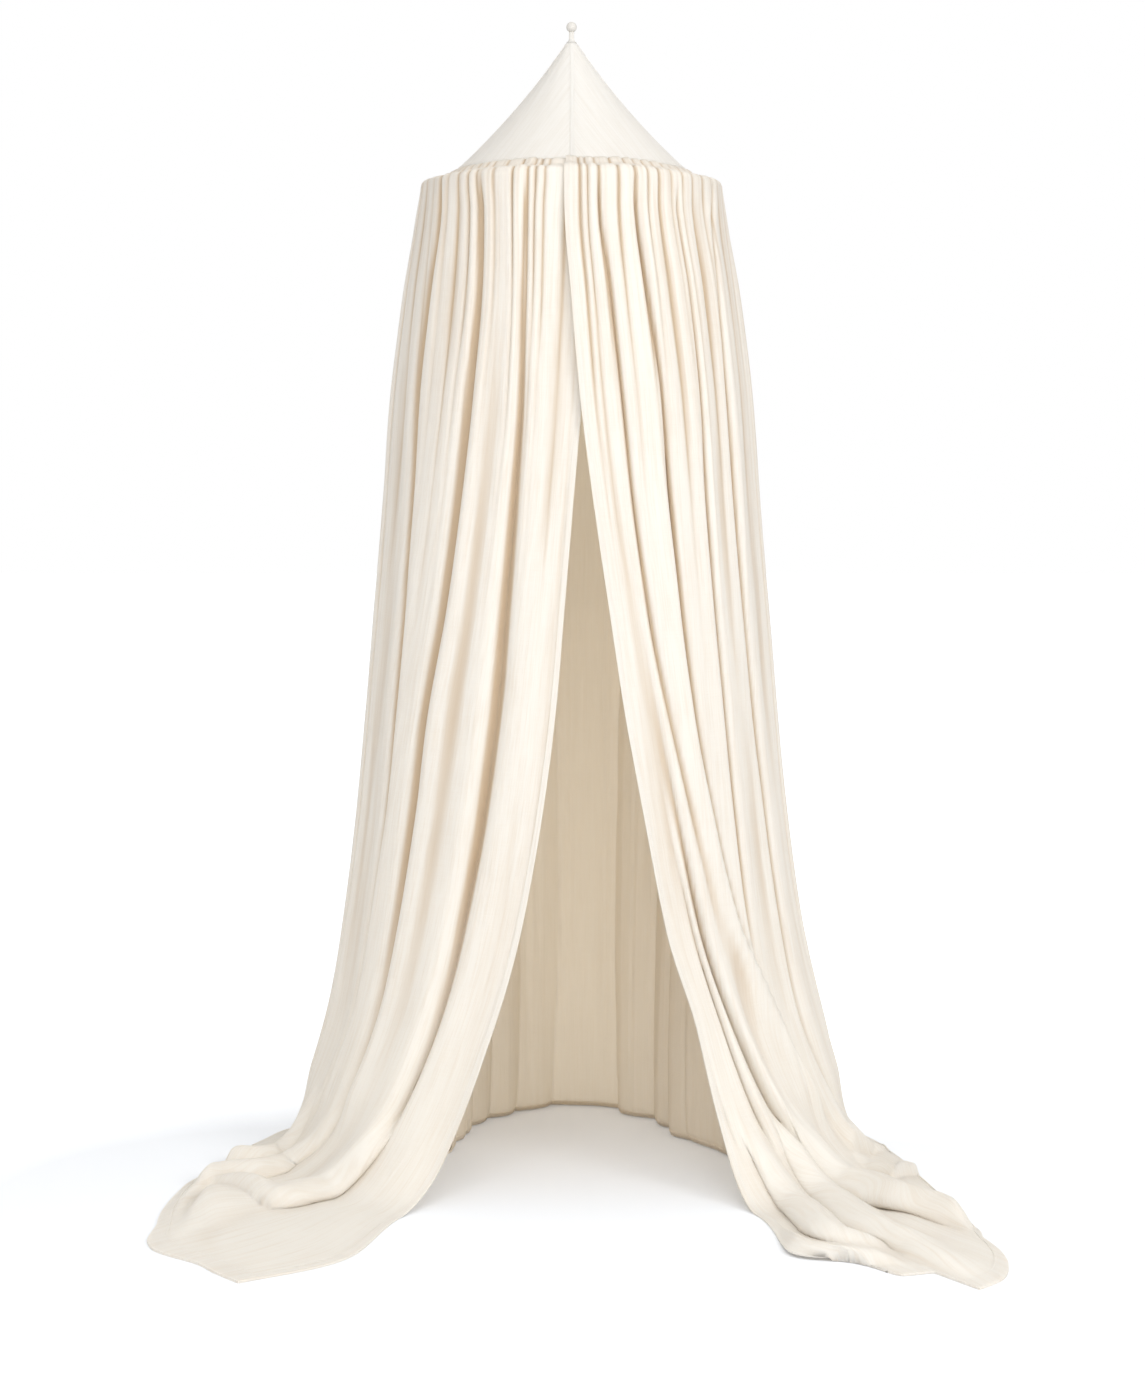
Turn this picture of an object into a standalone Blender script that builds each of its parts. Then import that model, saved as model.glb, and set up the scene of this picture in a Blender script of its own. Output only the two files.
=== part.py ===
"""Hanging bed canopy: a cloth roof on a hoop, two drawn front curtains and a back panel.

The origin is the top of the bead that the canopy hangs from, +Z is up, the opening
between the curtains faces -Y and the floor lies HANG_HEIGHT below the origin.
Heights are measured up from that floor. All sizes are in metres.
"""

import math
from dataclasses import dataclass

import bmesh
import bpy
import numpy as np

# Clearance between pieces that touch
GAP = 0.0004

# Bead, cord core and stopper
BEAD_R = 0.0101
CORD_R = 0.0016
CORD_INSET = 0.0015
KNOT_R = 0.0042
KNOT_HEIGHT = 0.0065
KNOT_STEPS = 6
CORD_TAIL = 0.004
WASHER_R = 0.0095
WASHER_THICK = 0.0012

# Roof
ROOF_THICK = 0.0012
SEAM_RISE = 0.0275
SEAM_R = 0.1935
ROOF_RISE = 0.213
APEX_R = 0.0084
ROOF_HOLLOW = 0.24
SEAM_ALLOWANCE = 0.006
NECK_WALL = 0.0012
NECK_R = 0.0042
NECK_LENGTH = 0.0147
CONE_DROP = 0.006

# Hoop
HOOP_R = 0.2420
HOOP_HEIGHT = 1.615
ROD_R = 0.003
FERRULE_WALL = 0.0009
FERRULE_LENGTH = 0.046
ROD_END_GAP = 0.0008
CASING_WALL = 0.0008
CASING_SLIT = 50.0
CASING_PLAY = 0.0007
HOOP_STEPS = 72
TAPE_THICK = 0.001
TAPE_WIDTH = 0.012
TAPE_EASE = 0.0012

# Cloth of the curtains
CLOTH = 0.002
PUFF_OUT = 0.0175
PUFF_DROP = 0.003
OVER_HOOP = (105.0, 75.0, 45.0, 15.0, -12.0)
LAYER_GAP = 0.0008
CROSSING_SPREAD = 0.0125
LAP_SPREAD = (0.6 * CROSSING_SPREAD, CROSSING_SPREAD, 0.5 * CROSSING_SPREAD, 0.0, 0.0, 0.0)
BACK_HALF_ANGLE = 120.0
BACK_LEVELS = (0.962, 0.464)
BACK_FOLDS = 9
BACK_RISE = 0.020
BACK_CURL = 0.040
BACK_DRAW = 0.012
POOL_RUN = 0.745
FOLD_RISE = 0.030
LAP_ENDS = (0.22, 0.45)

SEAM_HEIGHT = HOOP_HEIGHT + SEAM_RISE
APEX_HEIGHT = SEAM_HEIGHT + ROOF_RISE
CORD_BORE = CORD_R + GAP
BEAD_HEIGHT = 2 * math.sqrt(BEAD_R ** 2 - CORD_BORE ** 2)
HANG_HEIGHT = APEX_HEIGHT + NECK_LENGTH + BEAD_HEIGHT
PITCH = CLOTH + LAYER_GAP
FERRULE_IN = ROD_R + GAP
FERRULE_OUT = FERRULE_IN + FERRULE_WALL
CASING_IN = FERRULE_OUT + CASING_PLAY
CASING_OUT = CASING_IN + CASING_WALL
FIRST_LAYER = CASING_OUT + LAYER_GAP + CLOTH / 2
LEAF_REACH = HOOP_R + FIRST_LAYER + PITCH


@dataclass(frozen=True)
class Material:
    """Colour and finish of one kind of material."""

    name: str
    colour: tuple
    roughness: float
    metallic: float = 0.0


@dataclass(frozen=True)
class Level:
    """One height of a curtain, as a part of the hoop's height, with four ribs across it.

    The ribs run from the front edge to the rear, out beyond the hoop in parts of POOL_RUN.
    """

    height: float
    azimuth: tuple
    out: tuple
    fullness: float


@dataclass(frozen=True)
class Fold:
    """A ridge along the cloth: place and half breadth in parts of the width.

    Its rise is in parts of FOLD_RISE.
    """

    place: float
    half: float
    rise: float


@dataclass(frozen=True)
class Curtain:
    """A curtain's guide levels under the hoop, its folds and the side it hangs on."""

    name: str
    side: int
    top: tuple
    levels: tuple
    folds: tuple
    lap: float


COTTON = Material("cream_cotton_gauze", (0.80, 0.74, 0.63), 0.95)
SHADE_COTTON = Material("cream_cotton_inner", (0.72, 0.64, 0.53), 0.95)
ROOF_COTTON = Material("cream_cotton_roof", (0.84, 0.78, 0.68), 0.93)
TWILL = Material("cotton_twill_tape", (0.78, 0.73, 0.64), 0.9)
WOOD = Material("white_turned_wood", (0.86, 0.85, 0.82), 0.45)
CORD = Material("white_cotton_cord", (0.82, 0.80, 0.75), 0.9)
STEEL = Material("white_coated_steel", (0.80, 0.80, 0.79), 0.35)
BRIGHT = Material("bright_steel", (0.62, 0.63, 0.64), 0.3, 1.0)

LEFT = Curtain(
    name="left_curtain",
    side=-1,
    top=(-10.0, 35.0, 85.0, 135.0),
    levels=(
        Level(0.962, (-8.0, 33.0, 84.0, 135.0), (0.02, 0.02, 0.02, 0.016), 0.15),
        Level(0.781, (-3.3, 33.0, 81.0, 135.0), (0.048, 0.051, 0.051, 0.04), 0.45),
        Level(0.464, (4.7, 42.6, 83.0, 135.0), (0.091, 0.094, 0.094, 0.067), 1.0),
        Level(0.149, (17.8, 49.2, 84.0, 134.0), (0.208, 0.181, 0.174, 0.121), 1.25),
        Level(0.0, (26.0, 43.0, 78.0, 132.0), (0.49, 0.49, 0.309, 0.201), 1.1),
        Level(0.0, (27.4, 46.0, 68.0, 99.0), (1, 0.821, 0.529, 0.341), 0.75),
    ),
    folds=(
        Fold(0.085, 0.085, 0.4),
        Fold(0.265, 0.070, 1.2),
        Fold(0.425, 0.090, 1.1),
        Fold(0.580, 0.070, 1.1),
        Fold(0.725, 0.075, 1),
        Fold(0.870, 0.075, 1),
    ),
    lap=0.0,
)

RIGHT = Curtain(
    name="right_curtain",
    side=1,
    top=(-2.5, 41.0, 88.0, 135.0),
    levels=(
        Level(0.962, (-2.3, 39.5, 86.0, 135.0), (0.02, 0.02, 0.02, 0.016), 0.15),
        Level(0.781, (2.6, 42.5, 86.0, 135.0), (0.048, 0.051, 0.051, 0.04), 0.45),
        Level(0.464, (15.1, 46.5, 84.0, 135.0), (0.091, 0.094, 0.094, 0.067), 1.0),
        Level(0.149, (27.9, 50.0, 83.0, 134.0), (0.208, 0.185, 0.177, 0.121), 1.25),
        Level(0.0, (26.2, 43.0, 76.0, 132.0), (0.53, 0.49, 0.309, 0.201), 1.1),
        Level(0.0, (31.7, 43.3, 60.5, 100.0), (1.11, 0.879, 0.537, 0.322), 0.75),
    ),
    folds=(
        Fold(0.045, 0.050, 0.4),
        Fold(0.150, 0.060, 0.87),
        Fold(0.285, 0.080, 1.2),
        Fold(0.460, 0.100, 1.2),
        Fold(0.625, 0.070, 1),
        Fold(0.765, 0.075, 1),
        Fold(0.900, 0.070, 0.93),
    ),
    lap=1.0,
)

CURTAIN_STEPS = (0, 1, 2, 3, 4, 5, 6, 7, 7.6, 8.3, 9, 9.6, 10, 10.25, 10.5, 10.75, 11, 11.33,
                 11.66, 12)
COLUMN_LEAST = 0.018
BACK_COLUMNS = 45
BACK_STEPS = (0, 1, 2, 3, 4, 5, 6, 7, 7.5, 8, 8.5, 9, 10)


def up(height):
    """World height of a point that lies this far above the floor."""
    return height - HANG_HEIGHT


def clear_scene():
    """Remove every object and mesh of the opened file."""
    for item in list(bpy.data.objects):
        bpy.data.objects.remove(item, do_unlink=True)
    for mesh in list(bpy.data.meshes):
        bpy.data.meshes.remove(mesh)


def material(kind):
    """Return the Principled material of one Material entry."""
    found = bpy.data.materials.get(kind.name)
    if found:
        return found
    made = bpy.data.materials.new(kind.name)
    made.use_nodes = True
    surface = made.node_tree.nodes["Principled BSDF"]
    surface.inputs["Base Color"].default_value = (*kind.colour, 1.0)
    surface.inputs["Roughness"].default_value = kind.roughness
    surface.inputs["Metallic"].default_value = kind.metallic
    made.diffuse_color = (*kind.colour, 1.0)
    return made


def pivot(name, parent=None):
    """Add an empty on the vertical centre line, where every joint of the canopy lies."""
    empty = bpy.data.objects.new(name, None)
    empty.empty_display_size = 0.03
    empty.parent = parent
    bpy.context.scene.collection.objects.link(empty)
    return empty


def finish_mesh(bm, name, kind, parent, sharp=40.0):
    """Weld, orient and shade a bmesh, and put it in the scene as a named object."""
    bmesh.ops.remove_doubles(bm, verts=bm.verts, dist=1e-6)
    bmesh.ops.recalc_face_normals(bm, faces=bm.faces)
    mesh = bpy.data.meshes.new(name)
    bm.to_mesh(mesh)
    bm.free()
    mesh.shade_smooth()
    mesh.set_sharp_from_angle(angle=math.radians(sharp))
    mesh.materials.append(material(kind))
    item = bpy.data.objects.new(name, mesh)
    item.parent = parent
    bpy.context.scene.collection.objects.link(item)
    return item


def turned(name, outline, segments, kind, parent, sharp=40.0):
    """Spin a closed outline of (radius, height) points round the centre line."""
    bm = bmesh.new()
    points = [bm.verts.new((radius, 0.0, up(height))) for radius, height in outline]
    edges = [bm.edges.new((a, b)) for a, b in zip(points, points[1:] + points[:1])]
    bmesh.ops.spin(bm, geom=points + edges, cent=(0, 0, 0), axis=(0, 0, 1),
                   angle=math.tau, steps=segments, use_merge=True)
    return finish_mesh(bm, name, kind, parent, sharp)


def hoop_bar(name, outline, start, sweep, segments, kind, parent):
    """Sweep a closed outline of (out, rise) points along an arc of the hoop and cap it."""
    bm = bmesh.new()
    turn = math.radians(start)
    points = []
    for out, rise in outline:
        reach = HOOP_R + out
        spot = (reach * math.cos(turn), reach * math.sin(turn), up(HOOP_HEIGHT) + rise)
        points.append(bm.verts.new(spot))
    edges = [bm.edges.new((a, b)) for a, b in zip(points, points[1:] + points[:1])]
    bmesh.ops.spin(bm, geom=points + edges, cent=(0, 0, 0), axis=(0, 0, 1),
                   angle=math.radians(sweep), steps=segments)
    bmesh.ops.holes_fill(bm, edges=[edge for edge in bm.edges if edge.is_boundary], sides=0)
    return finish_mesh(bm, name, kind, parent)


def circle(radius, sides):
    """Points of a circle about the hoop's rod, as (out, rise)."""
    step = math.tau / sides
    return [(radius * math.cos(i * step), radius * math.sin(i * step)) for i in range(sides)]


def arc(radius, start, end, steps, centre=(0.0, 0.0)):
    """Points of an arc from start to end degrees, as (radius, height)."""
    turns = [math.radians(start + (end - start) * i / steps) for i in range(steps + 1)]
    return [(centre[0] + radius * math.cos(t), centre[1] + radius * math.sin(t)) for t in turns]


def eased(knots, values, at):
    """Interpolate smoothly through values, without overshoot, at the given places."""
    knots, values, at = (np.asarray(x, dtype=float) for x in (knots, values, at))
    widths, slopes = np.diff(knots), np.diff(values) / np.diff(knots)
    tangents = np.concatenate([slopes[:1], np.zeros(len(slopes) - 1), slopes[-1:]])
    for i in range(1, len(slopes)):
        if slopes[i - 1] * slopes[i] > 0:
            near, far = 2 * widths[i] + widths[i - 1], widths[i] + 2 * widths[i - 1]
            tangents[i] = (near + far) / (near / slopes[i - 1] + far / slopes[i])
    cell = np.clip(np.searchsorted(knots, at, side="right") - 1, 0, len(slopes) - 1)
    t = (at - knots[cell]) / widths[cell]
    h = widths[cell]
    return (
        (1 + 2 * t) * (1 - t) ** 2 * values[cell]
        + t * (1 - t) ** 2 * h * tangents[cell]
        + t * t * (3 - 2 * t) * values[cell + 1]
        + t * t * (t - 1) * h * tangents[cell + 1]
    )


def ramp(value, start, end):
    """Rise smoothly from 0 at start to 1 at end."""
    t = np.clip((value - start) / (end - start), 0.0, 1.0)
    return t * t * (3 - 2 * t)


def ribs(across, values):
    """Spread four rib values over the width of a curtain."""
    return eased((0.0, 1 / 3, 2 / 3, 1.0), values, across)


def roof_radius(height):
    """Radius of the roof's cloth, a cone that draws in a little toward its top."""
    drop = (APEX_HEIGHT - height) / (APEX_HEIGHT - SEAM_HEIGHT)
    return APEX_R + (SEAM_R - APEX_R) * (drop - ROOF_HOLLOW * drop * (1 - drop))


def top_rows(layer):
    """Cloth profile from the seam over the hoop: (reach, height) of seven rows."""
    sunk = (2 - layer) * PITCH
    clear = FIRST_LAYER + layer * PITCH
    rows = [
        (SEAM_R + 0 * sunk, SEAM_HEIGHT - ROOF_THICK - GAP - CLOTH / 2 - sunk),
        (SEAM_R + PUFF_OUT + 0 * sunk, SEAM_HEIGHT - PUFF_DROP - sunk),
    ]
    for turn in OVER_HOOP:
        angle = math.radians(turn)
        rows.append((HOOP_R + clear * math.cos(angle), HOOP_HEIGHT + clear * math.sin(angle)))
    return rows


def sheet(points, name, kind, parent, outward):
    """Skin a grid of points and give the cloth its thickness, half to each side."""
    bm = bmesh.new()
    grid = [[bm.verts.new(spot) for spot in row] for row in points]
    for upper, lower in zip(grid, grid[1:]):
        for i in range(len(upper) - 1):
            bm.faces.new((upper[i], lower[i], lower[i + 1], upper[i + 1]))
    bmesh.ops.remove_doubles(bm, verts=bm.verts, dist=1e-6)
    mesh = bpy.data.meshes.new(name)
    bm.to_mesh(mesh)
    bm.free()
    mesh.shade_smooth()
    mesh.materials.append(material(kind))
    item = bpy.data.objects.new(name, mesh)
    item.parent = parent
    bpy.context.scene.collection.objects.link(item)
    skin = item.modifiers.new("cloth_thickness", "SOLIDIFY")
    skin.thickness = outward
    skin.offset = 0.0
    return item


def normals(points, side):
    """Unit normals of a grid of points, outward on a curtain of the given side."""
    down = np.gradient(points, axis=0)
    across = np.gradient(points, axis=1)
    facing = np.cross(down, across) * side
    return facing / np.maximum(np.linalg.norm(facing, axis=2, keepdims=True), 1e-12)


def ridges(across, folds):
    """Height of the folds over the width: rounded ridges with sharper valleys."""
    total = np.zeros_like(across)
    for fold in folds:
        share = np.clip(np.abs(across - fold.place) / fold.half, 0.0, 1.0)
        total = np.maximum(total, fold.rise * np.cos(0.5 * math.pi * share) ** 1.4)
    return FOLD_RISE * total


def fold_columns(folds):
    """Places of the mesh columns: the crest, the flanks and the valleys of each fold."""
    spots = {0.0, 1.0}
    for fold in folds:
        spots.update(fold.place + fold.half * part for part in (-1.0, -0.5, 0.0, 0.5, 1.0))
    kept = [0.0]
    for spot in sorted(spots):
        if COLUMN_LEAST <= spot - kept[-1] and spot <= 1.0 - COLUMN_LEAST:
            kept.append(spot)
    return np.array([*kept, 1.0])


def curtain_points(curtain, steps):
    """Grid of a front curtain: guide ribs first, then the folds raised on them."""
    across = fold_columns(curtain.folds)
    lapped = curtain.lap * (1 - ramp(across, *LAP_ENDS))
    rows = []
    for reach, height in top_rows(1 + lapped):
        rows.append((ribs(across, curtain.top), reach, height, 0.0))
    for level, spread in zip(curtain.levels, LAP_SPREAD):
        reach = LEAF_REACH + POOL_RUN * ribs(across, level.out) + spread * lapped
        height = np.full_like(across, max(level.height * HOOP_HEIGHT, CLOTH / 2))
        rows.append((ribs(across, level.azimuth), reach, height, level.fullness))
    knots = np.arange(len(rows), dtype=float)
    grids = []
    for part in range(3):
        table = np.array([row[part] for row in rows])
        grids.append(np.array([eased(knots, column, steps) for column in table.T]).T)
    azimuth, reach, height = np.radians(grids[0]), grids[1], grids[2]
    base = np.stack([curtain.side * reach * np.sin(azimuth), -reach * np.cos(azimuth),
                     up(height)], axis=2)
    fullness = eased(knots, [row[3] for row in rows], steps)[:, None]
    rise = ridges(across, curtain.folds)[None, :] * fullness
    return base + normals(base, curtain.side) * rise[:, :, None]


def back_points(columns, steps):
    """Grid of the back panel, which hangs straight inside the curtains."""
    across = np.linspace(0.0, 1.0, columns + 1)
    azimuth = np.radians(180.0 + BACK_HALF_ANGLE * (2 * across - 1))
    top = top_rows(0)
    hoop = top[-1][0]
    hang = hoop - BACK_DRAW
    reach = [row[0] for row in top] + [hoop, hang, hang, hang + BACK_CURL]
    height = [row[1] for row in top]
    height += [HOOP_HEIGHT * share for share in BACK_LEVELS] + [CLOTH / 2, CLOTH / 2]
    fullness = [0.0] * len(top) + [0.2, 1.0, 1.0, 0.35]
    knots = np.arange(len(reach), dtype=float)
    out = eased(knots, reach, steps)[:, None] + 0 * across
    rise = eased(knots, height, steps)[:, None] + 0 * across
    base = np.stack([out * np.sin(azimuth), -out * np.cos(azimuth), up(rise)], axis=2)
    wave = 0.5 * (1 - np.cos(math.tau * BACK_FOLDS * across))
    depth = BACK_RISE * wave[None, :] * eased(knots, fullness, steps)[:, None]
    inward = np.stack([-np.sin(azimuth), np.cos(azimuth), 0 * azimuth], axis=1)
    return base + inward[None] * depth[:, :, None]


def make_hanger(root):
    """Bead, the cord inside it and the knot that carries the roof."""
    end = math.degrees(math.acos(CORD_BORE / BEAD_R))
    ball = arc(BEAD_R, end, -end, 11, (0.0, HANG_HEIGHT - BEAD_HEIGHT / 2))
    turned("finial_bead", ball, 20, WOOD, root)
    knot_top = APEX_HEIGHT - CONE_DROP - WASHER_THICK - 2 * GAP
    knot = []
    for i in range(KNOT_STEPS + 1):
        turn = math.pi * (0.45 - 0.9 * i / KNOT_STEPS)
        knot.append((CORD_BORE + (KNOT_R - CORD_BORE) * math.cos(turn),
                     knot_top - KNOT_HEIGHT / 2 * (1 - math.sin(turn))))
    turned("stopper_knot", knot, 16, CORD, root)
    low, high = knot_top - KNOT_HEIGHT - CORD_TAIL, HANG_HEIGHT - CORD_INSET
    core = [(0.0, high), (CORD_R, high), (CORD_R, low), (0.0, low)]
    turned("bead_cord", core, 10, CORD, root)
    return knot_top


def make_neck(canopy, knot_top):
    """Neck sleeve under the bead and the washer that the knot bears on."""
    rest = knot_top + GAP
    top = rest + WASHER_THICK
    ring = [(CORD_BORE, top), (WASHER_R, top), (WASHER_R, rest), (CORD_BORE, rest)]
    turned("stopper_washer", ring, 24, BRIGHT, canopy)
    low = top + GAP
    foot = roof_radius(low) - ROOF_THICK - flange(low) - GAP
    edge = roof_radius(APEX_HEIGHT) - ROOF_THICK - flange(APEX_HEIGHT) - GAP
    outline = [(CORD_BORE, APEX_HEIGHT + NECK_LENGTH - GAP),
               (NECK_R, APEX_HEIGHT + NECK_LENGTH - GAP),
               (NECK_R, APEX_HEIGHT + abs(edge - NECK_R)), (edge, APEX_HEIGHT),
               (foot, low + NECK_WALL / 2), (foot, low), (CORD_BORE, low)]
    turned("neck_sleeve", outline, 20, ROOF_COTTON, canopy)


def flange(height):
    """Depth of the turned-in seam allowance, which tapers out at the apex."""
    return min(SEAM_ALLOWANCE, 0.002 + 0.3 * max(0.0, APEX_HEIGHT - CONE_DROP - height))


def make_roof(canopy):
    """Four gores, each with its edges turned in along the seams that join them."""
    rows, columns = 8, 8
    heights = [APEX_HEIGHT + (SEAM_HEIGHT - APEX_HEIGHT) * (i / rows) ** 1.15 for i in range(rows + 1)]
    aside = ROOF_THICK / 2 + GAP / 2
    for number in range(4):
        start = 90.0 * number
        points = []
        for height in heights:
            radius = roof_radius(height)
            edge = math.degrees(math.asin(aside / radius))
            inner = radius - flange(height)
            low = math.degrees(math.asin(aside / inner))
            spots = [(inner, low)]
            spots += [(radius, edge + (90.0 - 2 * edge) * i / columns) for i in range(columns + 1)]
            spots.append((inner, 90.0 - low))
            points.append([(r * math.cos(math.radians(start + a)),
                            r * math.sin(math.radians(start + a)), up(height)) for r, a in spots])
        sheet(points, f"roof_gore_{number + 1}", ROOF_COTTON, canopy, ROOF_THICK)


def make_hoop(canopy):
    """Two hoop rods, the ferrules they plug into, and the casing sewn round them."""
    gap = math.degrees(ROD_END_GAP / 2 / HOOP_R)
    for name, start in (("hoop_rod_front", 180.0), ("hoop_rod_back", 0.0)):
        hoop_bar(name, circle(ROD_R, 8), start + gap, 180.0 - 2 * gap, HOOP_STEPS // 2, STEEL, canopy)
    reach = math.degrees(FERRULE_LENGTH / 2 / HOOP_R)
    for name, start in (("hoop_ferrule_right", 0.0), ("hoop_ferrule_left", 180.0)):
        bm = bmesh.new()
        rings = []
        for radius in (FERRULE_OUT, FERRULE_IN):
            loop = []
            for i in range(7):
                turn = math.radians(start - reach + 2 * reach * i / 6)
                ring = [bm.verts.new(((HOOP_R + out) * math.cos(turn),
                                      (HOOP_R + out) * math.sin(turn), up(HOOP_HEIGHT) + rise))
                        for out, rise in circle(radius, 12)]
                loop.append(ring)
            rings.append(loop)
        outer, inner = rings
        strips = list(zip(outer, outer[1:])) + list(zip(inner, inner[1:]))
        strips += [(outer[0], inner[0]), (outer[-1], inner[-1])]
        for one, two in strips:
            for i in range(12):
                j = (i + 1) % 12
                bm.faces.new((one[i], one[j], two[j], two[i]))
        finish_mesh(bm, name, BRIGHT, canopy)
    half = (360.0 - CASING_SLIT) / 2
    facing = 45.0
    wrap = arc(CASING_OUT, facing + half, facing - half, 9, (HOOP_R, HOOP_HEIGHT))
    wrap += arc(CASING_IN, facing - half, facing + half, 9, (HOOP_R, HOOP_HEIGHT))
    turned("hoop_casing", wrap, HOOP_STEPS, COTTON, canopy, 60.0)


def make_tape(canopy):
    """Folded tape ring: it lies under the gathered tops and its lip meets the roof."""
    high = top_rows(0)[0][1] - CLOTH / 2 - GAP
    lip = SEAM_R - TAPE_EASE
    inner, top = lip - TAPE_THICK, SEAM_HEIGHT - ROOF_THICK / 2 - GAP
    outer = inner + TAPE_WIDTH
    fold = [(inner, top), (lip, top), (lip, high), (outer, high), (outer, high - TAPE_THICK),
            (inner, high - TAPE_THICK)]
    turned("seam_tape", fold, HOOP_STEPS, TWILL, canopy)


def main():
    """Build the canopy."""
    clear_scene()
    root = pivot("hanging_point")
    canopy = pivot("canopy_swivel_pivot", root)
    knot_top = make_hanger(root)
    make_neck(canopy, knot_top)
    make_roof(canopy)
    make_hoop(canopy)
    make_tape(canopy)
    for curtain in (LEFT, RIGHT):
        hinge = pivot(f"{curtain.name}_draw_pivot", canopy)
        points = curtain_points(curtain, CURTAIN_STEPS)
        sheet(points, curtain.name, COTTON, hinge, CLOTH)
    sheet(back_points(BACK_COLUMNS, BACK_STEPS), "back_curtain", SHADE_COTTON, canopy, CLOTH)


main()
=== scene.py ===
"""Looks of the hanging bed canopy: its cloths, seams, stitches and bead, the light and the camera.

Lengths are in metres. The origin is the hanging point on top of the bead, the floor lies HANG
below it, +Z is up and the front faces -Y. Heights are counted from the floor, as the CAD does.
"""
import logging
import math
from dataclasses import dataclass
from enum import Enum
from typing import Sequence

import bpy
import numpy as np
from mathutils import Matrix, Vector


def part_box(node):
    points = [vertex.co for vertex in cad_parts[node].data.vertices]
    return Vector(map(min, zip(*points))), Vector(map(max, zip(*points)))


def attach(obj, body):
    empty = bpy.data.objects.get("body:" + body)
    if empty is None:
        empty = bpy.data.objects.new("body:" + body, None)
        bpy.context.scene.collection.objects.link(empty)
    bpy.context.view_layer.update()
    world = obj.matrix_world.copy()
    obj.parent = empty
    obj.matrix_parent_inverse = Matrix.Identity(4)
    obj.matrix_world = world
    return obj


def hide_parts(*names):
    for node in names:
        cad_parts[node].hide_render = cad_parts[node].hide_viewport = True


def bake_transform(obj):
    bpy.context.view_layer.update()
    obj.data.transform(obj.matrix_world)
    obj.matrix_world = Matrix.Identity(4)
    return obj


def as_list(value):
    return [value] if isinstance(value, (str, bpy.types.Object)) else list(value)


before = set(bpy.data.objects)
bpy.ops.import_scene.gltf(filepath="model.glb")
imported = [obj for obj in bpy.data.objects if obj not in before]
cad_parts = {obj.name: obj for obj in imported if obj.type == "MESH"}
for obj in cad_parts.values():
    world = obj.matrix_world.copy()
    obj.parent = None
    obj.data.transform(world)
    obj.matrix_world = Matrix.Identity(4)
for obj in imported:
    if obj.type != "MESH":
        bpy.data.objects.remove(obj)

LOG = logging.getLogger("bed_canopy")
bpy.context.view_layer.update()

HANG = 1.89
BEAD_R, CORD_BORE = 0.0088, 0.0020
BEAD_HEIGHT = 2 * math.sqrt(BEAD_R**2 - CORD_BORE**2)
SEAM_R, SEAM_HEIGHT = 0.1935, 1.6425
APEX_R, APEX_HEIGHT, ROOF_HOLLOW, ROOF_THICK = 0.0084, 1.8555, 0.24, 0.0012
GORE_WIDE, GORE_LONG = 0.304, 0.284
NECK_R, CONE_DROP = 0.0042, 0.006
HOOP_R, HOOP_HEIGHT = 0.2420, 1.615
CLOTH, GAP, PITCH, FIRST_LAYER = 0.0014, 0.0003, 0.0017, 0.0059
PUFF_OUT, PUFF_DROP = 0.0175, 0.0120
OVER_HOOP = (105.0, 75.0, 45.0, 15.0, -12.0)
LEAF_REACH = HOOP_R + FIRST_LAYER + PITCH
CASING_R, TAPE_THICK, TAPE_WIDTH, TAPE_EASE = 0.0047, 0.001, 0.012, 0.0012
FULL_TURN = 2 * math.pi

Array = np.ndarray
Colour = tuple[float, float, float]
Point = tuple[float, float, float]


class Side(Enum):
    """Which side of the opening a front curtain hangs on; the value is the sign of its x."""

    LEFT = -1
    RIGHT = 1


# -------------------- numbers and curves


def up(height: float | Array) -> float | Array:
    """World z of a height above the floor."""
    return height - HANG


def srgb(red: int, green: int, blue: int) -> Colour:
    """Linear colour of an 8-bit screen colour.

    Args:
        red: its red, 0 to 255.
        green: its green.
        blue: its blue.

    Returns:
        The linear parts, 0 to 1.
    """
    def linear(level: float) -> float:
        """One channel, from screen to linear."""
        return level / 12.92 if level <= 0.04045 else ((level + 0.055) / 1.055) ** 2.4

    return tuple(linear(c / 255) for c in (red, green, blue))


def eased(knots: Array, values: Array, at: Array) -> Array:
    """Monotone cubic through the knots, so that a curve never overshoots its values.

    Args:
        knots: rising places of the knots, (k,).
        values: what the curve holds at each knot, (k, ...).
        at: where to read it, (n,).

    Returns:
        The curve's values, (n, ...).
    """
    knots, at = np.asarray(knots, float), np.asarray(at, float)
    values = np.asarray(values, float)
    flat = values.reshape(len(knots), -1)
    step = np.diff(knots)[:, None]
    slope = np.diff(flat, axis=0) / step
    tangent = np.empty_like(flat)
    tangent[0], tangent[-1] = slope[0], slope[-1]
    before, after = slope[:-1], slope[1:]
    near, far = 2 * step[1:] + step[:-1], step[1:] + 2 * step[:-1]
    rising = before * after > 0
    safe_before, safe_after = np.where(rising, before, 1), np.where(rising, after, 1)
    tangent[1:-1] = np.where(rising, (near + far) / (near / safe_before + far / safe_after), 0)
    spot = np.clip(np.searchsorted(knots, at, side="right") - 1, 0, len(knots) - 2)
    wide = step[spot]
    share = (at - knots[spot])[:, None] / wide
    square, cube = share**2, share**3
    curve = ((2 * cube - 3 * square + 1) * flat[spot]
             + (cube - 2 * square + share) * wide * tangent[spot]
             + (3 * square - 2 * cube) * flat[spot + 1]
             + (cube - square) * wide * tangent[spot + 1])
    return curve.reshape((len(at),) + values.shape[1:])


def ramp(value: Array, start: float, end: float) -> Array:
    """Smooth step from 0 at start to 1 at end."""
    share = np.clip((value - start) / (end - start), 0, 1)
    return share * share * (3 - 2 * share)


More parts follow.
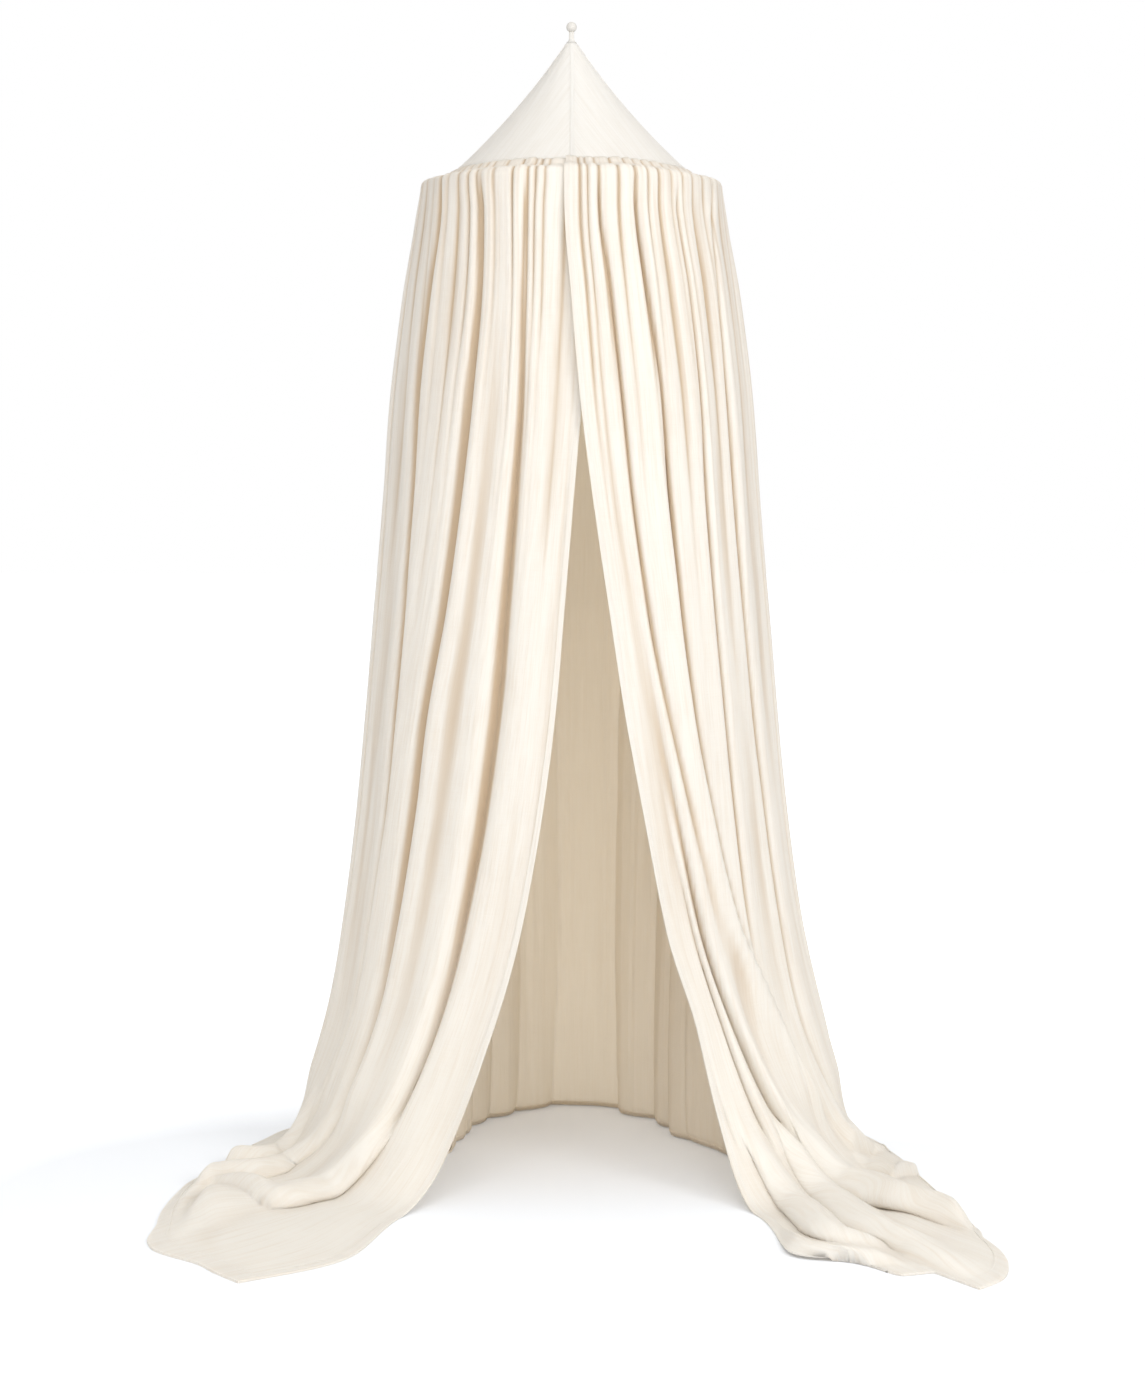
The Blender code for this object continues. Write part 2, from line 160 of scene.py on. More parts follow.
def drift(seed: int, down: Array, across: Array, cells: tuple[int, int]) -> Array:
    """Smooth chance field from -1 to 1 over a sheet.

    Args:
        seed: fixes the field.
        down: places down the sheet, 0 to 1, (n,).
        across: places across it, 0 to 1, (m,).
        cells: how many swings it has down and across.

    Returns:
        The field, (n, m).
    """
    grid = np.random.default_rng(seed).uniform(-1, 1, (cells[0] + 1, cells[1] + 1))
    rows = eased(np.linspace(0, 1, cells[0] + 1), grid, np.clip(down, 0, 1))
    return eased(np.linspace(0, 1, cells[1] + 1), rows.T, np.clip(across, 0, 1)).T


def roof_radius(height: float | Array) -> float | Array:
    """Outside radius of the hollow cone of the roof at a height."""
    drop = (APEX_HEIGHT - height) / (APEX_HEIGHT - SEAM_HEIGHT)
    return APEX_R + (SEAM_R - APEX_R) * (drop - ROOF_HOLLOW * drop * (1 - drop))


def polar(bearing: Array, reach: Array, height: Array, side: float = 1.0) -> Array:
    """Points round the canopy's centre line.

    Args:
        bearing: turn off the front, in degrees.
        reach: distance from the centre line.
        height: height above the floor.
        side: 1 to turn towards +X, -1 towards -X.

    Returns:
        The points, (..., 3).
    """
    turn = np.radians(bearing)
    parts = (side * reach * np.sin(turn), -reach * np.cos(turn), up(height))
    return np.stack(np.broadcast_arrays(*parts), -1)


def around(radius: Array, turn: Array, height: Array) -> Array:
    """Points from a radius, a turn from +X in radians and a height."""
    parts = (radius * np.cos(turn), radius * np.sin(turn), up(height))
    return np.stack(np.broadcast_arrays(*parts), -1)


def turns(count: int) -> Array:
    """Even turns round a full circle, in radians."""
    return np.linspace(0, FULL_TURN, count, endpoint=False)


def unit(vectors: Array) -> Array:
    """The vectors at length 1."""
    return vectors / np.maximum(np.linalg.norm(vectors, axis=-1, keepdims=True), 1e-12)


def flat_grid(across: Array, down: Array) -> Array:
    """Places on the flat cloth of its rows and columns, in metres."""
    return np.stack(np.broadcast_arrays(across[None, :], down[:, None]), -1)


def grid_normals(points: Array, side: float) -> Array:
    """Unit normals of a grid of points; side picks the face they leave from."""
    return unit(np.cross(np.gradient(points, axis=0), np.gradient(points, axis=1)) * side)


# -------------------- meshes


def in_scene(name: str, data: bpy.types.ID) -> bpy.types.Object:
    """Object linked to the scene.

    Args:
        name: the object's name.
        data: its mesh, lamp or camera.

    Returns:
        The object.
    """
    made = bpy.data.objects.new(name, data)
    bpy.context.scene.collection.objects.link(made)
    return made


def finish_piece(mesh: bpy.types.Mesh, name: str,
                 material: bpy.types.Material | None) -> bpy.types.Object:
    """Object of a mesh at the origin, smooth and dressed.

    Args:
        mesh: the finished mesh, in place.
        name: the piece's name.
        material: its finish, or None where the mesh has it.

    Returns:
        The linked object.
    """
    if material is not None:
        mesh.materials.clear()
        mesh.materials.append(material)
    mesh.polygons.foreach_set("use_smooth", [True] * len(mesh.polygons))
    LOG.info("%s: %d faces", name, len(mesh.polygons))
    return in_scene(name, mesh)


def mesh_of(name: str, points: Sequence, faces: Sequence) -> bpy.types.Mesh:
    """Mesh of points and faces.

    Args:
        name: the mesh's name.
        points: its points.
        faces: the point numbers of each face.

    Returns:
        The mesh.
    """
    mesh = bpy.data.meshes.new(name)
    mesh.from_pydata(points, [], faces)
    return mesh


def lay_cloth_map(mesh: bpy.types.Mesh, flat: Array) -> None:
    """Keeps each point's place on the flat cloth as the UV map called cloth.

    Args:
        mesh: the mesh that gets the map.
        flat: the places in metres, (points, 2).
    """
    layer = mesh.uv_layers.new(name="cloth")
    corners = np.empty(len(mesh.loops), np.int32)
    mesh.loops.foreach_get("vertex_index", corners)
    layer.data.foreach_set("uv", flat[corners].astype(np.float32).ravel())


def tie(pieces: Sequence[bpy.types.Object], body: str) -> None:
    """Ties pieces to a body.

    Args:
        pieces: the pieces.
        body: the body that they ride on.
    """
    for piece in pieces:
        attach(piece, body)


def sharpen(mesh: bpy.types.Mesh, chosen: Array) -> None:
    """Marks the edges whose two points are both chosen as sharp.

    Args:
        mesh: the mesh.
        chosen: True at each chosen point.
    """
    ends = np.empty(2 * len(mesh.edges), np.int32)
    mesh.edges.foreach_get("vertices", ends)
    sharp = chosen[ends.reshape(-1, 2)].all(axis=1)
    layer = (mesh.attributes.get("sharp_edge")
             or mesh.attributes.new("sharp_edge", "BOOLEAN", "EDGE"))
    layer.data.foreach_set("value", sharp)


def cloth_piece(name: str, points: Array, normals: Array, flat: Array, thickness: float,
                material: bpy.types.Material, closed: bool = False,
                hollow: Array | None = None) -> bpy.types.Object:
    """Closed cloth of a grid: outer face, inner face and the rim between them.

    Args:
        name: the piece's name.
        points: middle of the cloth, (rows, columns, 3).
        normals: unit normals to its outer face, (rows, columns, 3).
        flat: place of each point on the flat cloth in metres, (rows, columns, 2).
        thickness: the cloth's thickness.
        material: its finish.
        closed: True where the last column meets the first.
        hollow: painted shade, 0 on the folds to 1 in the valleys between them, (rows, columns).

    Returns:
        The piece.
    """
    rows, columns = points.shape[:2]
    count = rows * columns
    outer, inner = points + normals * thickness / 2, points - normals * thickness / 2
    places = np.concatenate([outer.reshape(-1, 3), inner.reshape(-1, 3)])
    index = np.arange(count).reshape(rows, columns)
    if closed:
        index = np.concatenate([index, index[:, :1]], axis=1)
        rims = [index[0, ::-1], index[-1]]
    else:
        rims = [np.concatenate([index[0, ::-1], index[1:, 0], index[-1, 1:], index[-2::-1, -1]])]
    quads = np.stack([index[:-1, :-1], index[:-1, 1:], index[1:, 1:], index[1:, :-1]], -1)
    quads = quads.reshape(-1, 4)
    sides = np.concatenate([
        np.stack([loop[:-1], loop[1:], loop[1:] + count, loop[:-1] + count], -1) for loop in rims])
    one, two, four = (outer.reshape(-1, 3)[quads[:, i]] for i in (0, 1, 3))
    if (np.cross(two - one, four - one) * normals.reshape(-1, 3)[quads[:, 0]]).sum() < 0:
        quads, sides = quads[:, ::-1], sides[:, ::-1]
    faces = np.concatenate([quads, quads[:, ::-1] + count, sides])
    mesh = mesh_of(name, places.tolist(), faces.tolist())
    lay_cloth_map(mesh, np.concatenate([flat.reshape(-1, 2)] * 2))
    # The painted shade goes into the attribute hollow, which the muslin reads.
    if hollow is not None:
        shade = mesh.attributes.new("hollow", "FLOAT", "POINT")
        both = np.concatenate([hollow.ravel()] * 2).astype(np.float32)
        shade.data.foreach_set("value", both)
    rim = np.zeros(2 * count, bool)
    for loop in rims:
        rim[loop], rim[loop + count] = True, True
    sharpen(mesh, rim)
    return finish_piece(mesh, name, material)


def revolved(name: str, outline: Sequence[tuple[float, float]], columns: int,
             material: bpy.types.Material, pleats: int = 0,
             depth: Sequence[float] = (0.0,)) -> bpy.types.Object:
    """Closed ring turned from a closed outline, with pleats if asked.

    Args:
        name: the piece's name.
        outline: (radius, height) points round the section, in either direction.
        columns: steps round the axis.
        material: its finish.
        pleats: number of pleats round it.
        depth: pleat depth at each outline point, or one for all.

    Returns:
        The piece.
    """
    section = np.array(outline, float)
    turn = turns(columns)
    radius = section[:, :1] + np.array(depth)[:, None] * np.cos(pleats * turn)[None, :]
    points = around(radius, turn, section[:, 1:]).reshape(-1, 3)
    index = np.arange(len(section) * columns).reshape(len(section), columns)
    below, beside = np.roll(index, -1, axis=0), np.roll(index, -1, axis=1)
    faces = np.stack([index, beside, np.roll(below, -1, axis=1), below], -1).reshape(-1, 4)
    wide, tall = section.T
    if (wide * np.roll(tall, -1) - np.roll(wide, -1) * tall).sum() > 0:
        faces = faces[:, ::-1]
    mesh = mesh_of(name, points.tolist(), faces.tolist())
    steps = np.linalg.norm(np.diff(section, axis=0), axis=1)
    girth = np.concatenate([[0], np.cumsum(steps)])
    lay_cloth_map(mesh, flat_grid(turn * wide.max(), girth).reshape(-1, 2))
    return finish_piece(mesh, name, material)


def tube_faces(path: Array, radius: float, sides: int) -> tuple[Array, Array]:
    """Points and faces of a capped tube, with frames carried along its path.

    Args:
        path: the tube's middle line, (n, 3).
        radius: its radius.
        sides: how many sides it has.

    Returns:
        The points, and the point numbers of the faces; a cap's face names one twice.
    """
    along = unit(np.gradient(path, axis=0))
    upright = abs(along[0][2]) >= 0.9
    aside = np.cross(along[0], (1.0, 0.0, 0.0) if upright else (0.0, 0.0, 1.0))
    turn = turns(sides)[:, None]
    rings = []
    for spot, heading in zip(path, along):
        aside = aside - heading * aside.dot(heading)
        aside /= np.linalg.norm(aside)
        other = np.cross(heading, aside)
        rings.append(spot + radius * (aside * np.cos(turn) + other * np.sin(turn)))
    points = np.concatenate([*rings, path[:1], path[-1:]])
    count = len(path) * sides
    index = np.arange(count).reshape(len(path), sides)
    turned = np.roll(index, -1, axis=1)
    walls = np.stack([index[:-1], turned[:-1], turned[1:], index[1:]], -1).reshape(-1, 4)
    start, end = np.full(sides, count), np.full(sides, count + 1)
    first = np.stack([turned[0], index[0], start, start], -1)
    last = np.stack([index[-1], turned[-1], end, end], -1)
    return points, np.concatenate([walls, first, last])


def tubes(name: str, paths: Sequence[Array], radius: float, sides: int,
          material: bpy.types.Material) -> bpy.types.Object:
    """One piece of several capped tubes.

    Args:
        name: the piece's name.
        paths: the tubes' middle lines.
        radius: their radius.
        sides: how many sides each has.
        material: their finish.

    Returns:
        The piece.
    """
    places, faces, start = [], [], 0
    for path in paths:
        points, quads = tube_faces(path, radius, sides)
        places.extend(points.tolist())
        faces.extend([list(dict.fromkeys((quad + start).tolist())) for quad in quads])
        start += len(points)
    return finish_piece(mesh_of(name, places, faces), name, material)


# -------------------- node graphs


class Wire:
    """A node's output that takes part in Python sums; each operator adds a Math node."""

    def __init__(self, graph: "Graph", socket: bpy.types.NodeSocket) -> None:
        """Keeps the graph and the socket."""
        self.graph, self.socket = graph, socket

    def _sum(self, operation: str, *terms: "Wire | float") -> "Wire":
        """One Math node over the terms."""
        return self.graph.node("ShaderNodeMath", {"operation": operation}, dict(enumerate(terms)))

    def __add__(self, other: "Wire | float") -> "Wire":
        """self + other"""
        return self._sum("ADD", self, other)

    def __radd__(self, other: float) -> "Wire":
        """other + self"""
        return self._sum("ADD", other, self)

    def __sub__(self, other: "Wire | float") -> "Wire":
        """self - other"""
        return self._sum("SUBTRACT", self, other)

    def __rsub__(self, other: float) -> "Wire":
        """other - self"""
        return self._sum("SUBTRACT", other, self)

    def __mul__(self, other: "Wire | float") -> "Wire":
        """self * other"""
        return self._sum("MULTIPLY", self, other)

    def __rmul__(self, other: float) -> "Wire":
        """other * self"""
        return self._sum("MULTIPLY", other, self)

    def __truediv__(self, other: "Wire | float") -> "Wire":
        """self / other"""
        return self._sum("DIVIDE", self, other)

    def __rtruediv__(self, other: float) -> "Wire":
        """other / self"""
        return self._sum("DIVIDE", other, self)

    def __pow__(self, other: "Wire | float") -> "Wire":
        """self ** other"""
        return self._sum("POWER", self, other)

    def sine(self) -> "Wire":
        """Sine of the value."""
        return self._sum("SINE", self)

    def cosine(self) -> "Wire":
        """Cosine of the value."""
        return self._sum("COSINE", self)

    def lesser(self, other: "Wire | float") -> "Wire":
        """The smaller of the two."""
        return self._sum("MINIMUM", self, other)

    def clamped(self) -> "Wire":
        """The value held between 0 and 1."""
        return self.graph.node("ShaderNodeClamp", None, {"Value": self})


Feed = Wire | float | int | tuple | str | bpy.types.Material


class Graph:
    """Builder of a node tree, for a material or for geometry."""

    def __init__(self, tree: bpy.types.NodeTree) -> None:
        """Empties the tree and keeps it."""
        tree.nodes.clear()
        self.tree = tree

    def node(self, kind: str, settings: dict | None = None, inputs: dict | None = None,
             output: int | str = 0) -> Wire:
        """Adds a node.

        Args:
            kind: the node's type name.
            settings: its own settings, set first.
            inputs: values or wires by the sockets' names or numbers.
            output: which output to hand back.

        Returns:
            The chosen output.
        """
        made = self.tree.nodes.new(kind)
        for key, value in (settings or {}).items():
            setattr(made, key, value)
        for key, value in (inputs or {}).items():
            self.feed(made.inputs[key], value)
        return Wire(self, made.outputs[output] if made.outputs else None)

    def feed(self, socket: bpy.types.NodeSocket, value: Feed) -> None:
        """Links a wire to a socket, or sets the socket's own value.

        Args:
            socket: the input.
            value: the wire, or the value.
        """
        if isinstance(value, Wire):
            self.tree.links.new(value.socket, socket)
        elif isinstance(value, tuple) and socket.type == "RGBA":
            socket.default_value = (*value, 1.0)
        else:
            socket.default_value = value

    def mixed(self, share: Feed, one: Feed, two: Feed) -> Wire:
        """Colour from one at share 0 to two at share 1."""
        return self.node("ShaderNodeMix", {"data_type": "RGBA", "clamp_factor": True},
                         {0: share, 6: one, 7: two}, 2)

    def part(self, vector: Wire, axis: str) -> Wire:
        """One part of a vector: X, Y or Z."""
        return self.node("ShaderNodeSeparateXYZ", None, {0: vector}, axis)

    def vector(self, **parts: Feed) -> Wire:
        """A vector of the named parts X, Y and Z; what is left out is 0."""
        return self.node("ShaderNodeCombineXYZ", None, parts)

    def cloth_map(self) -> Wire:
        """Place on the flat cloth, in metres."""
        return self.node("ShaderNodeUVMap", {"uv_map": "cloth"})

    def place(self) -> Wire:
        """Place in the object's own space, in metres."""
        return self.node("ShaderNodeTexCoord", None, None, "Object")

    def noise(self, vector: Wire, scales: Point | float = 1.0, detail: float = 2.0,
              roughness: float = 0.5, bend: float = 0.0) -> Wire:
        """Noise value, about 0 to 1 with a mean of a half.

        Args:
            vector: where it is read.
            scales: swings a metre, for each axis or for all.
            detail: how many finer layers it has.
            roughness: how strong those are.
            bend: how far it is distorted.

        Returns:
            The value.
        """
        if isinstance(scales, tuple):
            vector = self.node("ShaderNodeVectorMath", {"operation": "MULTIPLY"},
                               {0: vector, 1: scales})
            scales = 1.0
        return self.node("ShaderNodeTexNoise", {"noise_dimensions": "3D"}, {
            "Vector": vector, "Scale": scales, "Detail": detail, "Roughness": roughness,
            "Distortion": bend})

    def bump(self, height: Wire, distance: float) -> Wire:
        """Normal of a height map whose full swing is distance."""
        return self.node("ShaderNodeBump", None, {"Height": height, "Distance": distance})


def new_material(name: str) -> tuple[bpy.types.Material, Graph]:
    """An empty node material and the builder of its tree.

    Args:
        name: the material's name.

    Returns:
        The material and the builder.
    """
    made = bpy.data.materials.new(name)
    made.use_nodes = True
    return made, Graph(made.node_tree)


def shaded(tint: Colour, share: float) -> Colour:
    """A darker tint, at a share of the light."""
    return tuple(share * part for part in tint)


def close_material(graph: Graph, inputs: dict, through: float = 0.0,
                   glow: Colour = (1.0, 1.0, 1.0)) -> None:
    """Ends a material in one Principled shader; a share of it may let light through.

    Args:
        graph: the material's tree.
        inputs: the shader's inputs.
        through: share of light that passes.
        glow: colour of that light.
    """
    shader = graph.node("ShaderNodeBsdfPrincipled", None, inputs)
    if through:
        passed = graph.node("ShaderNodeBsdfTranslucent", None, {"Color": glow})
        shader = graph.node("ShaderNodeMixShader", None, {0: through, 1: shader, 2: passed})
    graph.node("ShaderNodeOutputMaterial", None, {"Surface": shader})


@dataclass(frozen=True)
class Muslin:
    """Crinkled cotton muslin with slub yarns down the cloth, laid out on the cloth map, with
    painted shade in its fold valleys.
    """

    name: str
    light: Colour = srgb(246, 244, 239)
    dark: Colour = srgb(238, 232, 223)
    slub: float = 0.9
    crinkle: float = 0.0013
    thread: float = 0.0011
    # Painted shade: the colour that the fold valleys and pinches are darkened towards.
    valley_shade: Colour = srgb(203, 180, 150)
    through: float = 0.36
    glow: Colour = srgb(252, 245, 233)

    def made(self) -> bpy.types.Material:
        """Builds the finish.

        Returns:
            The material.
        """
        material, graph = new_material(self.name)
        flat = graph.cloth_map()
        yarn = graph.noise(flat, (380.0, 12.0, 1.0), 3.0, 0.6)
        streak = graph.noise(flat, (130.0, 4.5, 1.0), 3.0, 0.55)
        weft = graph.noise(flat, (16.0, 560.0, 1.0), 2.0, 0.5)
        creased = graph.noise(flat, (150.0, 17.0, 1.0), 4.0, 0.6, 0.35)
        cloud = graph.noise(flat, (3.0, 2.2, 1.0), 2.0)
        turn = FULL_TURN / self.thread
        weave = (graph.part(flat, "X") * turn).sine() * (graph.part(flat, "Y") * turn).sine()
        uneven = ((yarn - 0.5) * 1.4 + (streak - 0.5) * 1.0 + (weft - 0.5) * 0.35
                  + (cloud - 0.5) * 0.5 + (creased - 0.5) * 0.5)
        tone = (uneven * (2.2 * self.slub) + 0.28).clamped()
        height = creased * 0.55 + yarn * 0.22 + streak * 0.18 + weft * 0.1 + weave * 0.03
        # Painted shade: the attribute hollow mixes the base colour towards the valley colour.
        hollow = graph.node("ShaderNodeAttribute", {"attribute_name": "hollow"}, None, "Fac")
        close_material(graph, {
            "Base Color": graph.mixed(hollow * 0.9, graph.mixed(tone, self.light, self.dark),
                                      self.valley_shade),
            "Roughness": yarn * 0.14 + 0.8, "Normal": graph.bump(height, self.crinkle),
            "Sheen Weight": 0.12, "Sheen Roughness": 0.5, "Specular IOR Level": 0.3,
        }, self.through, self.glow)
        return material


@dataclass(frozen=True)
class Twill:
    """Twill tape: fine slanting ribs on the cloth map."""

    name: str
    tint: Colour = srgb(238, 231, 219)
    rib: float = 0.0016

    def made(self) -> bpy.types.Material:
        """Builds the finish.

        Returns:
            The material.
        """
        material, graph = new_material(self.name)
        flat = graph.cloth_map()
        slant = graph.part(flat, "X") + graph.part(flat, "Y")
        ribs = (slant * (FULL_TURN / self.rib)).sine() * 0.5 + 0.5
        fuzz = graph.noise(flat, (900.0, 900.0, 1.0))
        tone = (ribs * 0.5 + fuzz * 0.5).clamped()
        close_material(graph, {
            "Base Color": graph.mixed(tone, shaded(self.tint, 0.86), self.tint),
            "Roughness": fuzz * 0.1 + 0.82, "Normal": graph.bump(ribs * 0.7 + fuzz * 0.3, 0.0003),
        })
        return material


@dataclass(frozen=True)
class Thread:
    """Sewing thread or spun cord: plies that slant round it, in the object's own space."""

    name: str
    tint: Colour = srgb(247, 243, 236)
    ply: float = 0.0008

    def made(self) -> bpy.types.Material:
        """Builds the finish.

        Returns:
            The material.
        """
        material, graph = new_material(self.name)
        place = graph.place()
        slant = graph.part(place, "X") + graph.part(place, "Z")
        plies = (slant * (FULL_TURN / self.ply)).sine() * 0.5 + 0.5
        fuzz = graph.noise(place, (1800.0, 1800.0, 1800.0))
        spun = plies * 0.6 + fuzz * 0.4
        close_material(graph, {
            "Base Color": graph.mixed(spun.clamped(), shaded(self.tint, 0.84), self.tint),
            "Roughness": fuzz * 0.12 + 0.72, "Normal": graph.bump(spun, 0.00015),
        })
        return material


@dataclass(frozen=True)
class PaintedWood:
    """Turned wood under satin paint: the grain and the turning rings show faintly."""

    name: str
    tint: Colour = srgb(208, 204, 197)

    def made(self) -> bpy.types.Material:
        """Builds the finish.

        Returns:
            The material.
        """
        material, graph = new_material(self.name)
        place = graph.place()
        grain = graph.noise(place, (700.0, 700.0, 90.0), 3.0, 0.55)
        rings = graph.noise(graph.vector(Z=graph.part(place, "Z")), (1.0, 1.0, 2600.0))
        brush = graph.noise(place, (240.0, 240.0, 240.0))
        tone = (grain * 0.7 + brush * 0.4 - 0.2).clamped()
        close_material(graph, {
            "Base Color": graph.mixed(tone, self.tint, shaded(self.tint, 0.95)),
            "Roughness": brush * 0.18 + 0.36,
            "Normal": graph.bump(grain * 0.6 + rings * 0.4, 0.00003),
            "Coat Weight": 0.1, "Coat Roughness": 0.3,
        })
        return material


@dataclass(frozen=True)
class Metal:
    """Steel wire or tube: drawn marks along it, bare or under a thin white coat."""

    name: str
    tint: Colour
    bare: float
    roughness: float

    def made(self) -> bpy.types.Material:
        """Builds the finish.

        Returns:
            The material.
        """
        material, graph = new_material(self.name)
        place = graph.place()
        marks = graph.noise(place, (160.0, 160.0, 2400.0), 3.0, 0.6)
        smudge = graph.noise(place, (45.0, 45.0, 45.0), 3.0)
        tone = (smudge * 0.7 + marks * 0.5 - 0.25).clamped()
        close_material(graph, {
            "Base Color": graph.mixed(tone, self.tint, shaded(self.tint, 0.8)),
            "Metallic": self.bare, "Roughness": marks * 0.2 + (self.roughness - 0.1),
            "Normal": graph.bump(marks, 0.00006),
        })
        return material


# -------------------- geometry nodes


class Rule:
    """A Geometry Nodes tree with named inputs, and the pieces that it makes."""

    def __init__(self, name: str, sizes: dict[str, float | int]) -> None:
        """Starts the tree.

        Args:
            name: the tree's name.
            sizes: its inputs by name, with their usual values.
        """
        self.tree = bpy.data.node_groups.new(name, "GeometryNodeTree")
        self.graph = Graph(self.tree)
        face = self.tree.interface
        face.new_socket("Geometry", in_out="INPUT", socket_type="NodeSocketGeometry")
        for key, value in sizes.items():
            kind = "NodeSocketInt" if isinstance(value, int) else "NodeSocketFloat"
            face.new_socket(key, in_out="INPUT", socket_type=kind).default_value = value
        face.new_socket("Finish", in_out="INPUT", socket_type="NodeSocketMaterial")
        face.new_socket("Geometry", in_out="OUTPUT", socket_type="NodeSocketGeometry")
        self.inlet = self.tree.nodes.new("NodeGroupInput")

    def size(self, name: str) -> Wire:
        """One of the tree's inputs."""
        return Wire(self.graph, self.inlet.outputs[name])

    def close(self, shape: Wire) -> None:
        """Ends the tree in Realize Instances and Set Material.

        Args:
            shape: what the tree has made.
        """
        real = self.graph.node("GeometryNodeRealizeInstances", None, {0: shape})
        dressed = self.graph.node("GeometryNodeSetMaterial", None,
                                  {"Geometry": real, "Material": self.size("Finish")})
        self.graph.node("NodeGroupOutput", None, {0: dressed})

    def piece(self, name: str, base: bpy.types.Mesh, finish: bpy.types.Material,
              sizes: dict[str, float | int] | None = None,
              wall: float = 0.0) -> bpy.types.Object:
        """Runs the tree on a mesh and keeps the result as a plain mesh.

        Args:
            name: the piece's name.
            base: the mesh that the tree starts from.
            finish: the material handed to the tree.
            sizes: inputs that differ from the usual ones.
            wall: thickness given inwards to an open surface, 0 for none.

        Returns:
            The piece.
        """
        carrier = in_scene(name + "_base", base)
        step = carrier.modifiers.new("rule", "NODES")
        step.node_group = self.tree
        given = {**(sizes or {}), "Finish": finish}
        for item in self.tree.interface.items_tree:
            if item.item_type == "SOCKET" and item.in_out == "INPUT" and item.name in given:
                step[item.identifier] = given[item.name]
        if wall:
            solid = carrier.modifiers.new("wall", "SOLIDIFY")
            solid.thickness, solid.offset = wall, -1.0
        graph = bpy.context.evaluated_depsgraph_get()
        mesh = bpy.data.meshes.new_from_object(carrier.evaluated_get(graph))
        carrier.modifiers.clear()
        bpy.data.objects.remove(carrier)
        mesh.name = name
        return finish_piece(mesh, name, None)


def line_mesh(points: Array, facing: Array, closed: bool = False) -> bpy.types.Mesh:
    """Edges through points; the attribute facing keeps the way the cloth faces.

    Args:
        points: the line's points, (n, 3).
        facing: the way at each point.
        closed: True where the line ends at its start.

    Returns:
        The mesh.
    """
    mesh = bpy.data.meshes.new("run")
    count = len(points)
    edges = [(i, i + 1) for i in range(count - 1)] + ([(count - 1, 0)] if closed else [])
    mesh.from_pydata(points.tolist(), edges, [])
    layer = mesh.attributes.new("facing", "FLOAT_VECTOR", "POINT")
    layer.data.foreach_set("vector", facing.astype(np.float32).ravel())
    return mesh


class Stitching(Rule):
    """Running stitches laid along a line on the cloth."""

    def __init__(self) -> None:
        """Builds the tree: resampled line, one small spindle a stitch, turned to the cloth."""
        super().__init__("stitching", {"Spacing": 0.0036, "Length": 0.0027, "Width": 0.0006,
                                       "Rise": 0.0005, "Sway": 0.05, "Seed": 7})
        graph, size = self.graph, self.size
        line = graph.node("GeometryNodeMeshToCurve", None, {0: size("Geometry")})
        spots = graph.node("GeometryNodeResampleCurve", {"mode": "LENGTH"},
                           {"Curve": line, "Length": size("Spacing")}, "Curve")
        spindle = graph.node("GeometryNodeMeshUVSphere", None,
                             {"Segments": 6, "Rings": 4, "Radius": 0.5}, "Mesh")
        sizes = graph.vector(X=size("Length"), Y=size("Width"), Z=size("Rise"))
        stitch = graph.node("GeometryNodeTransform", None, {"Geometry": spindle, "Scale": sizes})
        facing = graph.node("GeometryNodeInputNamedAttribute", {"data_type": "FLOAT_VECTOR"},
                            {"Name": "facing"})
        upright = graph.node("FunctionNodeAlignRotationToVector", {"axis": "Z"},
                             {"Vector": facing})
        along = graph.node("FunctionNodeAlignRotationToVector", {"axis": "X", "pivot_axis": "Z"}, {
            "Rotation": upright, "Vector": graph.node("GeometryNodeInputTangent")})
        chance = graph.node("FunctionNodeRandomValue", {"data_type": "FLOAT"}, {
            2: size("Sway") * -1.0, 3: size("Sway"), "Seed": size("Seed")}, 1)
        turned = graph.node("FunctionNodeRotateRotation", {"rotation_space": "LOCAL"},
                            {"Rotation": along, "Rotate By": graph.vector(Z=chance)})
        self.close(graph.node("GeometryNodeInstanceOnPoints", None, {
            "Points": spots, "Instance": stitch, "Rotation": turned}))


class GoreRule(Rule):
    """One gore of the hollow cone: a flat grid bent to the cone, with slack between its seams."""

    def __init__(self) -> None:
        """Builds the tree."""
        super().__init__("gore", {
            "Start": 0.0, "Sweep": math.pi / 2, "Apex Radius": APEX_R, "Seam Radius": SEAM_R,
            "Apex Height": APEX_HEIGHT - HANG, "Seam Height": SEAM_HEIGHT - HANG,
            "Hollow": ROOF_HOLLOW, "Slack": 0.0016, "Drag": 0.0006, "Columns": 44, "Rows": 64,
            "Seed": 3})
        graph, size = self.graph, self.size
        grid = graph.node("GeometryNodeMeshGrid", None, {
            "Size X": 1.0, "Size Y": 1.0, "Vertices X": size("Columns"),
            "Vertices Y": size("Rows")}, "Mesh")
        place = graph.node("GeometryNodeInputPosition")
        across, drop = graph.part(place, "X") + 0.5, 0.5 - graph.part(place, "Y")
        bearing = size("Start") + size("Sweep") * across
        wide = size("Seam Radius") - size("Apex Radius")
        cone = size("Apex Radius") + wide * (drop - size("Hollow") * drop * (1.0 - drop))
        belly = across * (1.0 - across) * 4.0
        slack = belly * drop * (1.0 - drop) * 4.0 * size("Slack")
        spot = graph.vector(X=bearing * 5.0, Y=drop * 1.4, Z=size("Seed") * 3.7)
        drag = (graph.noise(spot) - 0.5) * size("Drag") * 4.0 * belly.clamped()
        radius = cone - slack + drag * (drop * 3.0).clamped() * ((1.0 - drop) * 12.0).clamped()
        tall = size("Apex Height") + (size("Seam Height") - size("Apex Height")) * drop
        bent = graph.vector(X=radius * bearing.cosine(), Y=radius * bearing.sine(), Z=tall)
        flat = graph.vector(X=(across - 0.5) * GORE_WIDE * drop + 0.15, Y=drop * GORE_LONG)
        mapped = graph.node("GeometryNodeStoreNamedAttribute",
                            {"data_type": "FLOAT2", "domain": "CORNER"},
                            {"Geometry": grid, "Name": "cloth", "Value": flat})
        self.close(graph.node("GeometryNodeSetPosition", None,
                              {"Geometry": mapped, "Position": bent}))


# -------------------- the hung cloths

